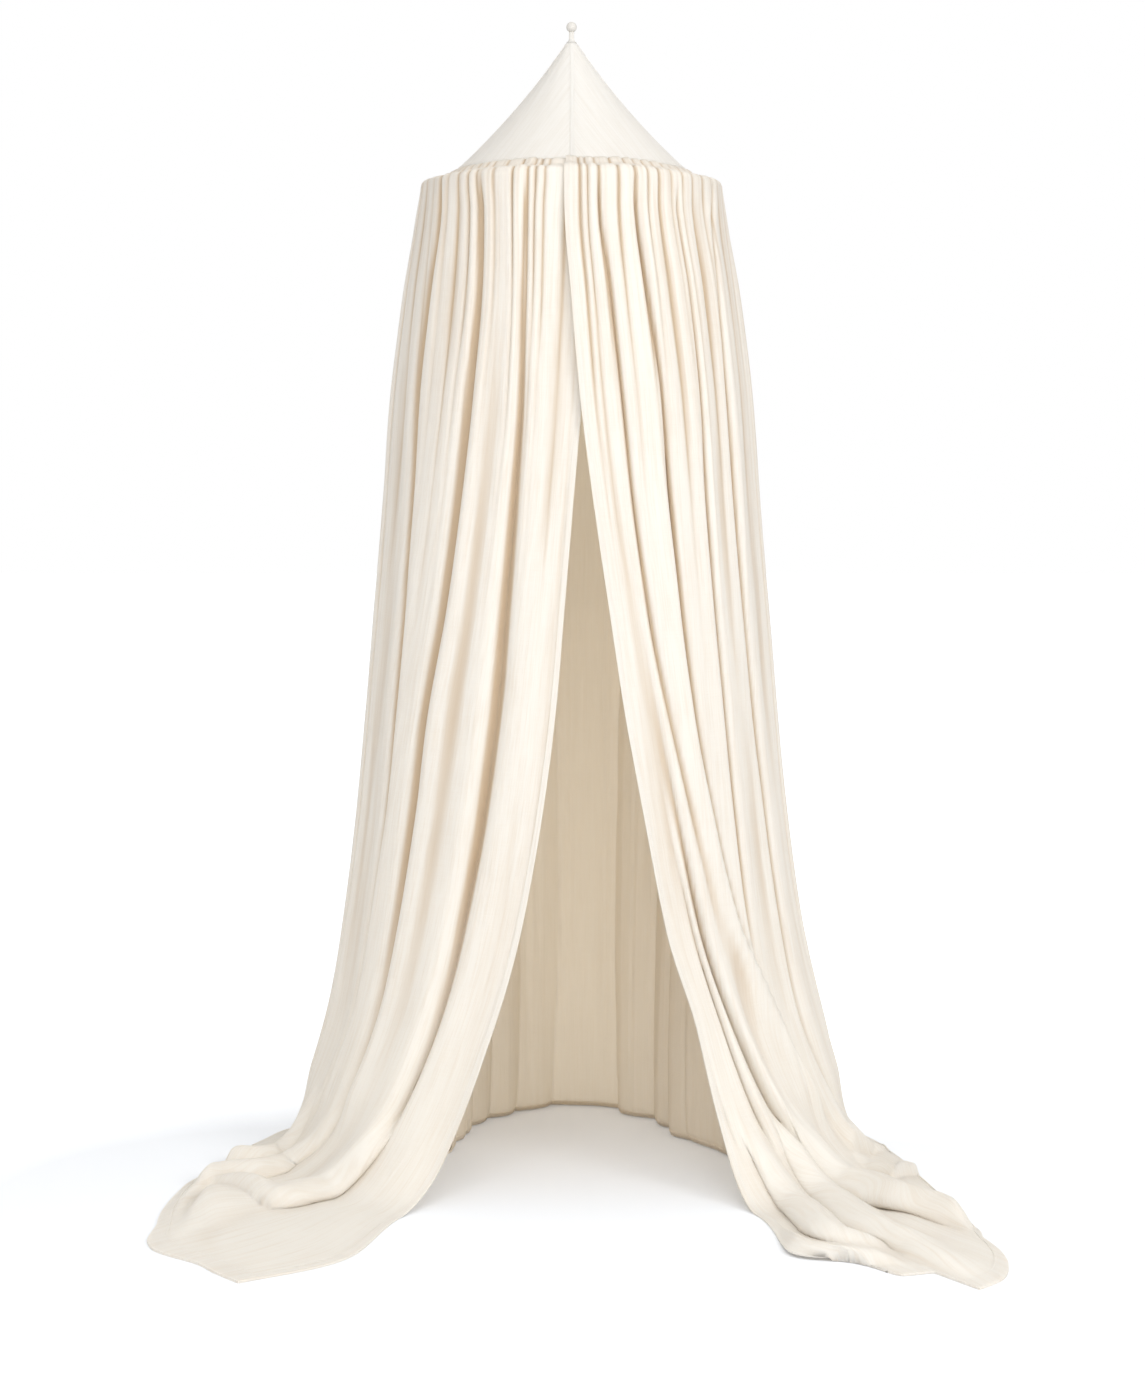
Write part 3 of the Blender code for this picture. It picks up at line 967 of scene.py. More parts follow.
# LEVELS are heights down a front curtain, HANGING its reaches where it hangs free, and MARKS the
# levels of a crease's six values. A cloth's top is TOP_SHARE of it in TOP_COUNT rows, and
# HUNG_COUNT rows follow. SOFT_FOLDS hold their swings down and across, and their size. PANEL_OUT is
# how far the back panel stands off its reach below the hoop, at the heights in PANEL_LEVELS.
LEVELS = (HOOP_HEIGHT, 1.554, 1.43, 1.2615, 1.093, 0.924, 0.75, 0.583, 0.41, 0.24, 0.0, 0.0, 0.0)
HANGING = (LEAF_REACH, 0.2548, 0.2705, 0.2880, 0.2985, 0.3105, 0.3225, 0.3355, 0.3550)
MARKS = (0, 3, 6, 9, 11, 12)
FINE = np.linspace(0, 1, 801)
TOP_SHARE, TOP_COUNT, HUNG_COUNT = 0.062, 25, 52
HEM_SINK, BESIDE = 0.08, 0.002
SOFT_FOLDS = (((12, 60), 0.0003), ((7, 26), 0.0018), ((4, 12), 0.0050))
PANEL_OUT = (0.004, 0.0, -0.003, -0.004, -0.002, 0.003, 0.014)
PANEL_LEVELS = (1.5, 1.0, 0.5, 0.12, 0.03, 0.005, 0.0)


@dataclass(frozen=True)
class Warp:
    """One warp thread of a front curtain, followed from the hoop to just above the floor."""

    place: float
    slack: float
    bearings: tuple[float, ...]
    low: float

    def reaches(self) -> list[float]:
        """Its distance from the canopy's centre line at each level."""
        return [LEAF_REACH + (reach - LEAF_REACH) * self.slack for reach in HANGING] + [self.low]


@dataclass(frozen=True)
class Foot:
    """Where a warp thread lies on the floor.

    Each place is a (bearing, reach) pair: where the thread lands, halfway and at the hem.
    """

    place: float
    spots: tuple[tuple[float, float], tuple[float, float], tuple[float, float]]


@dataclass(frozen=True)
class Crease:
    """A line where two folds meet.

    The rises beside it are in mm at the six marks from hoop to hem.
    """

    line: tuple[float, ...]
    front: tuple[float, ...]
    back: tuple[float, ...]
    depth: tuple[float, ...]
    crest: tuple[float, ...] = (9, 12, 15, 18, 26, 26)
    lean: tuple[float, ...] = (0.2, 0.35, 0.45, 0.6, 0.9, 0.5)

    @staticmethod
    def spread(values: Sequence[float]) -> Array:
        """Values at the six marks, read at all levels."""
        return eased(MARKS, values, np.arange(len(LEVELS)))

    @staticmethod
    def swell(share: Array) -> Array:
        """Rise beside a crease: quick to 1 at share 1, then slowly back."""
        held = np.maximum(share, 0)
        return held * np.exp(1 - held)


@dataclass(frozen=True)
class Roll:
    """A roll of cloth on the floor: it rises behind its foot line and falls off farther back.

    The line holds (outward, forward) places on the floor in mm, from the canopy's centre; the roll
    lies on its right. The other values are in mm, one for each place.
    """

    line: tuple[tuple[float, float], ...]
    rise: tuple[float, ...]
    face: tuple[float, ...]
    back: tuple[float, ...]
    bulge: tuple[float, ...]

    def beside(self, out: Array, forward: Array) -> tuple[Array, Array]:
        """Where places on the floor lie beside the roll's line.

        Args:
            out: outward places in metres.
            forward: forward places in metres.

        Returns:
            Six values a place: how far behind the line, how far past its ends, rise, face, back and
            bulge; and the outward and forward parts of the way over the foot.
        """
        even = np.linspace(0, len(self.line) - 1, 6 * len(self.line))
        parts = (np.array(self.line), self.rise, self.face, self.back, self.bulge)
        track = eased(np.arange(len(self.line)), np.column_stack(parts) / 1000, even)
        best = np.full(out.shape, np.inf)
        found = np.zeros(out.shape + (6,))
        ways = np.zeros(out.shape + (2,))
        for number, (start, end) in enumerate(zip(track[:-1], track[1:])):
            step = end[:2] - start[:2]
            size = max(float(np.hypot(*step)), 1e-9)
            place = ((out - start[0]) * step[0] + (forward - start[1]) * step[1]) / size**2
            share = np.clip(place, 0, 1)
            aside = out - start[0] - share * step[0]
            ahead = forward - start[1] - share * step[1]
            gap = np.hypot(aside, ahead)
            near = gap < best
            best = np.where(near, gap, best)
            square = (aside * step[1] - ahead * step[0]) / size
            last = number == len(track) - 2
            past = (place < 0) if number == 0 else (place > 1) & last
            behind = np.where(past, square, np.sign(square) * gap)
            overrun = np.where(past, np.abs(place - share) * size, 0)
            held = start[2:] + share[..., None] * (end[2:] - start[2:])
            here = np.concatenate([behind[..., None], overrun[..., None], held], -1)
            found = np.where(near[..., None], here, found)
            ways = np.where(near[..., None], np.array([-step[1], step[0]]) / size, ways)
        return found, ways

    def lift(self, out: Array, forward: Array) -> tuple[Array, Array, Array]:
        """Height of the roll over places on the floor, and how far it bulges over its foot.

        Args:
            out: outward places in metres.
            forward: forward places in metres.

        Returns:
            The rise, and the outward and forward parts of the bulge.
        """
        found, ways = self.beside(out, forward)
        behind, overrun, rise, face, back, bulge = np.moveaxis(found, -1, 0)
        left = 1 - ramp(overrun, 0.0, 0.06)
        up_face = np.clip(behind / np.maximum(face, 1e-6), 0, 1)
        fall = np.clip((behind - face) / np.maximum(back, 1e-6), 0, 1)
        quarter = math.pi / 2
        high = left * rise * np.sin(up_face * quarter) ** 2 * np.cos(fall * quarter) ** 2
        over = left * bulge * np.sin(math.pi * up_face**0.7) ** 2
        return high, over * ways[..., 0], over * ways[..., 1]


@dataclass
class Drape:
    """A hung cloth: where its middle lies, and the meshes cut from it."""

    name: str
    width: float
    length: float
    seed: int
    columns: int = 250
    rows: int = 176
    low: float = 0.72

    def down(self) -> Array:
        """Spaces the rows: close together over the hoop and near the floor.

        Returns:
            Their places, 0 at the roof seam to 1 at the foot.
        """
        head = np.linspace(0, TOP_SHARE, TOP_COUNT, endpoint=False)
        hung = np.linspace(TOP_SHARE, self.low, HUNG_COUNT, endpoint=False)
        foot = np.linspace(self.low, 1, self.rows - TOP_COUNT - HUNG_COUNT)
        return np.concatenate([head, hung, foot])

    def surface(self, down: Array, across: Array, lift: float) -> tuple[Array, Array, Array]:
        """Where the cloth lies.

        Args:
            down: places of the rows, 0 at the roof seam to 1 at the foot.
            across: places of the columns, 0 to 1.
            lift: how far its middle stays above the floor.

        Returns:
            The middle of the cloth, its outward normals and its painted shade, 0 to 1.
        """
        raise NotImplementedError

    def cut(self, name: str, down: Array, across: Array, thickness: float,
            material: bpy.types.Material) -> bpy.types.Object:
        """Cuts a piece of the cloth; a hem's extra thickness sinks a little into the floor.

        Args:
            name: the piece's name.
            down: places of its rows.
            across: places of its columns.
            thickness: its thickness.
            material: its finish.

        Returns:
            The piece.
        """
        sunk = HEM_SINK * (thickness - CLOTH)
        # The third value is the cloth's painted shade.
        points, normals, hollow = self.surface(down, across, thickness / 2 - sunk)
        flat = flat_grid(across * self.width, down * self.length)
        return cloth_piece(name, points, normals, flat, thickness, material, hollow=hollow)

    def stitch_line(self, down: Array, across: Array, off: float) -> bpy.types.Mesh:
        """A line on the cloth for stitches.

        Args:
            down: one place, or many where the line runs down the cloth.
            across: many places, or one.
            off: how far above the cloth's middle the line lies.

        Returns:
            The line's mesh.
        """
        beside = np.array([-BESIDE, 0.0, BESIDE])
        if len(down) == 1:
            points, normals = (part[1] for part in self.surface(down + beside, across, off)[:2])
        else:
            points, normals = (part[:, 1] for part in self.surface(down, across + beside, off)[:2])
        return line_mesh(points + normals * off, normals)


# Knots of every cloth's guide: the puff beside the roof seam, the hoop's outside and underside, and
# the levels that follow below the hoop.
PUFF, OUTSIDE, UNDERSIDE, BELOW, SECOND, THIRD, FOURTH = 2, 6, 7, 8, 9, 10, 11


def top_rows(layer: float | Array) -> tuple[list, list]:
    """Radii and heights of a cloth's top, from the roof seam out over the hoop.

    Args:
        layer: 0 for the back panel, 1 for a front curtain, 2 where one laps the other.

    Returns:
        The radii and the heights, one entry a knot.
    """
    sunk, clear = (2 - layer) * PITCH, FIRST_LAYER + layer * PITCH
    first = SEAM_HEIGHT - ROOF_THICK - GAP - CLOTH / 2 - sunk
    radii = [SEAM_R + out + 0 * sunk for out in (0, 0.0035, PUFF_OUT)]
    heights = [first, first + 0.0012, SEAM_HEIGHT - PUFF_DROP - sunk]
    for turn in OVER_HOOP:
        radii.append(HOOP_R + clear * math.cos(math.radians(turn)))
        heights.append(HOOP_HEIGHT + clear * math.sin(math.radians(turn)))
    return radii, heights


GATHER_FADE = (0.05, 0.2, 0.3, 0.22, 0.18, 0.18, 0.22, 0.34, 0.46, 0.4, 0.28, 0.15, 0.09, 0.06,
               0.04, 0.03, 0.02, 0.02, 0.01, 0.01)
PINCH_FADE = (0.5, 0.7, 0.8, 0.85, 0.9, 0.95, 1, 1, 1, 0.75, 0.4, 0.18, 0.07, *[0] * 7)
PROFILE_STEPS = 4000


def read_profile(profile: Array, places: Array) -> Array:
    """A profile's values at places from 0 to 1, in the shape of the places."""
    spots = places * PROFILE_STEPS
    return np.interp(spots.ravel(), np.arange(PROFILE_STEPS + 1), profile).reshape(places.shape)


def between(edges: Array, at: Array) -> tuple[Array, Array]:
    """Which gap between rising edges each place lies in, and its share of the way across."""
    spot = np.clip(np.searchsorted(edges, at, side="right") - 1, 0, len(edges) - 2)
    return spot, (at - edges[spot]) / (edges[spot + 1] - edges[spot])


def gathered(places: Sequence[float], rise: float, share: float, width: float, seed: int,
             tilt: float = 1.0) -> Array:
    """Profile of gathers across a cloth: rounded ridges between pinched valleys.

    Args:
        places: places of the valleys, 0 to 1.
        rise: about the most that a ridge rises.
        share: a narrow ridge's rise as a share of its width.
        width: the cloth's width over the hoop.
        seed: fixes how uneven the ridges are.
        tilt: under 1 the ridges peak near their starts, over 1 near their ends.

    Returns:
        The profile at PROFILE_STEPS + 1 even places.
    """
    at = np.linspace(0, 1, PROFILE_STEPS + 1)
    edges = np.concatenate([[-0.02], np.sort(np.asarray(places, float)), [1.02]])
    spot, within = between(edges, at)
    wide = edges[spot + 1] - edges[spot]
    uneven = np.random.default_rng(seed).uniform(0.3, 1.35, len(edges))[spot]
    within **= tilt * np.random.default_rng(seed + 1).uniform(0.8, 1.25, len(edges))[spot]
    tallest = np.minimum(rise, share * wide * width)
    return tallest * uneven * (4 * within * (1 - within)) ** 0.7


def pinched(places: Array, width: float, reach: float, seed: int, slight: int = 46) -> Array:
    """Profile of thin pinches between flat panels: 1 on the panels, towards 0 in the pinches.

    Args:
        places: places of the deep pinches, 0 to 1.
        width: the cloth's width over the hoop.
        reach: half width of a pinch.
        seed: fixes where the slight pinches lie and how deep each is.
        slight: number of slight pinches.

    Returns:
        The profile at PROFILE_STEPS + 1 even places.
    """
    at, chance = np.linspace(0, 1, PROFILE_STEPS + 1), np.random.default_rng(seed)
    spread = (np.arange(slight) + chance.uniform(-0.35, 0.35, slight)) / (slight - 1)
    depth = np.concatenate([chance.uniform(0.6, 1, len(places)), chance.uniform(0.0, 0.36, slight)])
    gap = np.abs(at[:, None] - np.concatenate([places, spread])[None, :]) * width
    return 1 - (depth * np.exp(-(gap / reach) ** 1.2)).max(axis=1)


@dataclass
class FrontCurtain(Drape):
    """A front curtain: gathered over the hoop, drawn aside below and swept out on the floor."""

    side: Side = Side.LEFT
    warps: tuple[Warp, ...] = ()
    feet: tuple[Foot, ...] = ()
    creases: tuple[Crease, ...] = ()
    rolls: tuple[Roll, ...] = ()
    gathers: tuple[float, ...] = ()
    lap: float = 0.0
    lap_spread: tuple[float, ...] = (0, 0.4, 0.7, 1, 0.83, 0.66, 0.5, 0.25, 0, 0, 0, 0, 0)
    lap_rise: float = 0.0125
    hoop_width: float = 0.62
    gather_rise: float = 0.0088
    gather_share: float = 0.33
    pinch_reach: float = 0.0030

    def knot_values(self, which: int, across: Array) -> Array:
        """What the warps and the feet say at every level.

        Args:
            which: 0 for the bearings, 1 for the reaches.
            across: places across the cloth.

        Returns:
            The values, (levels, columns).
        """
        hung = np.array([(warp.bearings, warp.reaches()) for warp in self.warps])[:, which]
        laid = np.array([foot.spots for foot in self.feet])[:, :, which]
        high = eased([warp.place for warp in self.warps], hung, across)
        low = eased([foot.place for foot in self.feet], laid, across)
        return np.concatenate([high, low], axis=1).T

    def guide(self, across: Array) -> tuple[Array, Array, Array, Array]:
        """Bearings, reaches and heights at the knots, and the knots' places down the cloth.

        Args:
            across: places across the cloth.

        Returns:
            Three (knots, columns) arrays and the (knots,) places.
        """
        lapped = self.lap * (1 - ramp(across, 0.22, 0.45))
        radii, tops = top_rows(1 + lapped)
        bearing, reach = self.knot_values(0, across), self.knot_values(1, across)
        spread = np.array(self.lap_spread)[:, None] * self.lap_rise * lapped
        bearings = np.concatenate([np.repeat(bearing[:1], len(tops), axis=0), bearing[1:]])
        reaches = np.concatenate([np.stack(radii), reach[1:] + spread[1:]])
        heights = np.concatenate([np.stack(tops), np.array(LEVELS[1:])[:, None] + 0 * across])
        points = polar(bearings, reaches, heights)
        chord = np.linalg.norm(np.diff(points, axis=0), axis=-1).mean(axis=1)
        knots = np.concatenate([[0], np.cumsum(chord)])
        return bearings, reaches, heights, knots / knots[-1]

    def creased(self, down: Array, across: Array, span: Array,
                knots: Array) -> tuple[Array, Array]:
        """Rise of the folds off the cloth, and how far their crests lean to the front edge.

        Args:
            down: places of the rows.
            across: places of the columns.
            span: width of the cloth at each row.
            knots: places of the knots down the cloth.

        Returns:
            Both as (rows, columns) arrays.
        """
        places = np.concatenate([[0.0], knots[UNDERSIDE:]])

        def by_level(values: Array) -> Array:
            """Values at the levels, read down the rows; over the hoop they stay as at the hoop."""
            return eased(places, np.concatenate([[values[0]], values]), down)[:, None]

        bearings = self.knot_values(0, FINE)
        rise = np.zeros((len(down), len(across)))
        lateral = np.zeros_like(rise)
        for crease in self.creases:
            line = [np.interp(bearing, row, FINE) for bearing, row in zip(crease.line, bearings)]
            crest, front, back, depth = (by_level(Crease.spread(values)) / 1000 for values in (
                crease.crest, crease.front, crease.back, crease.depth))
            share = (across[None, :] - by_level(np.array(line))) * span[:, None]
            one = front * Crease.swell(-share / crest)
            two = back * Crease.swell(share / crest)
            rise += one + two - depth * np.exp(-(share / (0.8 * crest)) ** 2)
            lateral += by_level(Crease.spread(crease.lean)) * (one - two)
        return rise, lateral

    def over_hoop(self, down: Array, across: Array, knots: Array,
                  calm: Array) -> tuple[Array, Array]:
        """Rise of the gathers and pinches over the hoop, and how deep each place is pinched, for
        the painted shade.

        Args:
            down: places of the rows.
            across: places of the columns.
            knots: places of the knots down the cloth.
            calm: share of the folds left at each place.

        Returns:
            Both as (rows, columns) arrays.
        """
        hoop_bearings = self.knot_values(0, FINE)[0]
        places = np.interp(self.gathers, hoop_bearings, FINE)
        tilt = 1.5 if self.side is Side.RIGHT else 0.62
        profile = gathered(places, self.gather_rise, self.gather_share, self.hoop_width, self.seed,
                           tilt)
        pinches = pinched(places, self.hoop_width, self.pinch_reach, self.seed)
        side = ramp(np.abs(np.interp(across, FINE, hoop_bearings)), 25, 65)[None, :]
        wander = drift(self.seed, down, across, (9, 14)) * 0.006
        wander *= ramp(down, knots[UNDERSIDE], knots[THIRD])[:, None]
        spots = np.clip(across[None, :] + wander, 0, 1)
        pinch = read_profile(pinches, spots)
        held = eased(knots, PINCH_FADE, down)[:, None]
        ridge = read_profile(profile, spots) * eased(knots, GATHER_FADE, down)[:, None]
        ridge += pinch * held * (0.0050 - 0.0036 * side)
        flatter = 0.6 * side * (1 - ramp(down, knots[UNDERSIDE], knots[SECOND]))[:, None]
        # The second value is how deep each place is pinched; it becomes painted shade.
        return ridge * ((0.15 + 0.85 * calm) * (1 - flatter)), (1 - pinch) * held

    def surface(self, down: Array, across: Array, lift: float) -> tuple[Array, Array, Array]:
        """Where the cloth lies.

        Args:
            down: places of the rows, 0 at the roof seam to 1 at the foot.
            across: places of the columns, 0 to 1.
            lift: how far its middle stays above the floor.

        Returns:
            The middle of the cloth, its outward normals and its painted shade: darker in the fold
            valleys, the pinches and the band under the roof seam.
        """
        knots = self.guide(np.linspace(0, 1, 61))[3]
        bearings, reaches, heights = (
            eased(knots, values, down) for values in self.guide(across)[:3])
        heights = np.maximum(heights, 0.0)
        sign = float(self.side.value)
        base = polar(bearings, reaches, heights, sign)
        normals = grid_normals(base, sign)
        ends = np.linalg.norm(np.diff(base, axis=1), axis=-1).sum(axis=1)
        span = ends / max(across[-1] - across[0], 1e-9)
        sideways = unit(np.gradient(base, axis=1) * (1, 1, 0))

        laid = ramp(heights, 0.14, 0.04)
        over = ramp(down, knots[PUFF], knots[BELOW])[:, None] * (1 - laid)
        rise, lateral = (part * over for part in self.creased(down, across, span, knots))
        calm = np.ones_like(rise)
        if not self.lap:
            under_lap = 1 - ramp(across, 0.04, 0.15)[None, :]
            calm = 1 - under_lap * (1 - ramp(down, knots[THIRD], knots[FOURTH]))[:, None]
            rise = np.where(rise > 0, rise * calm, rise)
        ridge, pinch = self.over_hoop(down, across, knots, calm)
        soft = sum(drift(self.seed + 1 + n, down, across, cells) * size
                   for n, (cells, size) in enumerate(SOFT_FOLDS))
        soft *= (ramp(down, knots[OUTSIDE], knots[SECOND])[:, None] * (0.4 + 0.6 * calm)
                 * (1 - 0.6 * laid))
        grounded = (1 - ramp(down, 0.966, 0.997))[:, None]
        billow = (drift(self.seed + 3, down, across, (26, 9)) * 0.5 + 0.5) * 0.006 * laid * grounded

        low = laid.max(axis=1) > 0
        lifted = np.zeros((3,) + rise.shape)
        if low.any():
            floor = sign * base[low, :, 0], -base[low, :, 1]
            lifted[:, low] = np.sum([roll.lift(*floor) for roll in self.rolls], axis=0)
        high, outward, ahead = lifted * laid * ramp(across, -0.001, 0.016)[None, :]
        free = (1 - ramp(down, 0.90, 0.985))[:, None]
        raised = rise + ridge + soft + billow + high * grounded
        points = base + normals * raised[..., None] + sideways * lateral[..., None]
        points[..., 0] += sign * (outward * free)
        points[..., 1] -= ahead * free
        points[..., 2] = np.maximum(points[..., 2], up(lift + GAP))
        # Painted shade: darker in the fold valleys, less so near the floor, darker in the pinches
        # and in a band from the roof seam to the hoop.
        shade = hollows(raised, span, across) * (1 - 0.85 * ramp(heights, 0.55, 0.12))
        shade += pinch * 0.9
        shade += 0.11 * (1 - ramp(down, knots[PUFF], knots[OUTSIDE]))[:, None]
        return points, grid_normals(points, sign), np.clip(shade, 0, 1)


def hollows(raised: Array, span: Array, across: Array, box: float = 0.036,
            full: float = 0.004) -> Array:
    """How deep each place lies below the cloth around it, from 0 to 1: the base of the painted
    shade in the fold valleys.

    Args:
        raised: rise of each place, (rows, columns).
        span: width of the cloth at each row.
        across: places of the columns; a narrow hem, with few of them, has no hollows.
        box: how far the cloth around a place reaches to each side.
        full: depth at which a hollow is 1.

    Returns:
        The hollow, (rows, columns).
    """
    if len(across) < 60:
        return np.zeros_like(raised)
    reach = max(2, int(round(box / (span.mean() * (across[1] - across[0])))))
    padded = np.pad(raised, ((0, 0), (reach, reach)), mode="edge")
    total = np.cumsum(np.pad(padded, ((0, 0), (1, 0))), axis=1)
    about = (total[:, 2 * reach + 1:] - total[:, :-2 * reach - 1]) / (2 * reach + 1)
    return np.clip((about - raised) / full, 0, 1)


REAR = (
    Crease((101, 101, 101, 102, 102, 101, 101, 101, 100, 99, 102, 98, 96), (4, 6, 9, 10, 10, 6),
           (3, 5, 7, 8, 10, 5), (3, 5, 6, 7, 4, 0)),
    Crease((119, 119, 118, 118, 118, 119, 119, 118, 117, 116, 117, 110, 106), (4, 5, 8, 9, 10, 5),
           (3, 5, 6, 7, 8, 5), (3, 5, 6, 7, 4, 0)),
)

LEFT = FrontCurtain(
    name="left_drape", width=0.95, length=2.1, seed=11, side=Side.LEFT, lap=0.0,
    warps=(
        Warp(0.0, 1.0, (-10, -8, -5.5, -3.3, -0.5, 2.1, 4.7, 8.3, 13, 18.5), 0.4074),
        Warp(0.16, 1.0, (14, 14, 13.5, 14, 16, 18.5, 21.5, 24.5, 28, 32.5), 0.398),
        Warp(1 / 3, 1.05, (35, 33, 31.5, 33, 36, 39.5, 44.5, 48, 50.5, 53), 0.392),
        Warp(2 / 3, 1.17, (85, 84, 83, 82, 82, 82.5, 83, 83.5, 84, 84), 0.403),
        Warp(1.0, 0.85, (135, 135, 135, 135, 135, 135, 135, 135, 135, 134), 0.3525),
    ),
    feet=(
        Foot(0.0, ((26, 0.60), (23, 0.813), (27.7, 1.004))),
        Foot(0.05, ((30.5, 0.595), (28, 0.788), (31.1, 0.98))),
        Foot(0.10, ((35, 0.59), (33.5, 0.763), (34.6, 0.956))),
        Foot(0.15, ((39.5, 0.58), (39, 0.738), (39.6, 0.947))),
        Foot(0.19, ((43, 0.575), (43, 0.715), (42.8, 0.922))),
        Foot(0.22, ((46.5, 0.565), (46.8, 0.692), (45, 0.888))),
        Foot(0.25, ((50, 0.56), (50.3, 0.675), (46.9, 0.858))),
        Foot(0.28, ((53, 0.555), (53, 0.66), (49, 0.834))),
        Foot(0.31, ((56.5, 0.548), (55.5, 0.645), (51.7, 0.803))),
        Foot(0.34, ((60, 0.54), (58.5, 0.632), (55, 0.766))),
        Foot(0.37, ((63.5, 0.53), (61.5, 0.617), (58.3, 0.731))),
        Foot(0.41, ((68.5, 0.52), (65.5, 0.602), (61.8, 0.697))),
        Foot(0.46, ((74, 0.515), (70, 0.58), (66, 0.65))),
        Foot(0.51, ((79, 0.511), (75, 0.56), (71, 0.61))),
        Foot(0.56, ((83.5, 0.506), (80, 0.542), (77, 0.578))),
        Foot(0.62, ((88.5, 0.498), (86, 0.522), (83.5, 0.542))),
        Foot(0.70, ((97, 0.48), (94, 0.496), (91.5, 0.508))),
        Foot(0.82, ((111, 0.444), (106, 0.456), (103, 0.465))),
        Foot(1.0, ((132, 0.402), (122, 0.42), (112, 0.435))),
    ),
    creases=(
        Crease((17, 16.8, 16.4, 16.2, 18.0, 20.2, 22.4, 25.6, 30, 34.4, 43, 43.5, 44.5),
               (4, 6, 8, 9, 10, 2), (5, 9, 12, 20, 26, 16), (4, 8, 12, 12, 9, 0),
               (12, 18, 24, 24, 24, 24), (0, 0, 0, 0.4, 0.6, 0)),
        Crease((35, 33, 31.5, 33, 36.1, 39.5, 44.8, 47.4, 50.2, 52.8, 59, 58.5, 50.5),
               (5, 9, 12, 14, 14, 8), (2, 4, 6, 9, 16, 8), (4, 7, 9, 9, 9, 0),
               (12, 16, 20, 22, 22, 22), (0, 0.1, 0.2, 0.4, 0.4, 0)),
        Crease((58, 55.5, 56.2, 58, 57.5, 57.1, 58.3, 59.4, 62.0, 63.6, 75, 70, 65.5),
               (5, 9, 12, 15, 14, 8), (2, 4, 6, 9, 12, 8), (4, 6, 8, 9, 8, 0),
               (12, 16, 20, 22, 22, 22), (0, 0.1, 0.2, 0.4, 0.4, 0)),
        Crease((79, 79, 79, 79, 79, 79, 80, 80, 80, 80, 88, 83, 82), (4, 5, 7, 9, 12, 8),
               (4, 6, 9, 12, 10, 6), (3, 4, 4, 4, 3, 0)),
        *REAR,
    ),
    rolls=(
        Roll(((246, 360), (271, 366), (312, 380), (355, 399), (397, 440), (427, 480), (460, 494),
              (495, 459), (527, 407), (555, 385), (583, 374)),
             (16, 20, 26, 28, 28, 28, 27, 26, 24, 20, 10),
             (22, 24, 26, 28, 28, 28, 28, 28, 28, 28, 28),
             (40, 50, 70, 90, 100, 100, 90, 80, 60, 50, 50),
             (8, 10, 16, 20, 22, 22, 18, 14, 10, 6, 2)),
        Roll(((359, 232), (384, 250), (414, 250), (440, 250), (468, 290), (494, 318), (528, 326),
              (556, 342), (577, 385), (592, 430), (597, 480), (601, 540)),
             (10, 12, 15, 20, 24, 26, 26, 26, 26, 25, 22, 14),
             (22, 24, 28, 34, 40, 42, 40, 34, 26, 18, 16, 16),
             (50, 50, 55, 60, 60, 60, 60, 50, 40, 34, 30, 30),
             (4, 6, 8, 10, 12, 12, 10, 8, 6, 4, 3, 2)),
        Roll(((400, 130), (430, 135), (455, 150), (480, 185), (505, 205), (535, 215)),
             (8, 12, 18, 24, 26, 26), (20, 22, 26, 30, 30, 26), (30, 35, 40, 50, 50, 50),
             (2, 4, 6, 6, 6, 4)),
        Roll(((601, 610), (598, 540), (594, 480), (588, 430), (580, 400)), (10, 17, 21, 20, 14),
             (16, 18, 20, 22, 24), (60, 80, 110, 120, 100), (3, 5, 6, 5, 3)),
        Roll(((552, 470), (534, 560), (514, 650), (498, 720), (482, 790)), (-3, -8, -10, -9, -6),
             (32, 32, 34, 34, 32), (32, 36, 40, 40, 40), (0, 0, 0, 0, 0)),
        Roll(((592, 540), (584, 600), (570, 660), (556, 730)), (6, 12, 12, 5), (26, 26, 26, 26),
             (34, 34, 34, 34), (0, 2, 2, 0)),
        Roll(((640, 610), (560, 690), (500, 770), (470, 830), (440, 900)), (5, 6, 8, 6, 4),
             (30, 40, 40, 30, 30), (60, 60, 60, 60, 60), (0, 0, 0, 0, 0)),
    ),
    gathers=(-6, 1, 9.5, 13, 16, 21.6, 29.8, 37.2, 41.2, 46.5, 52.5, 58.5, 63.5, 71, 79.4, 86, 94,
             101, 109, 116, 124, 130),
)

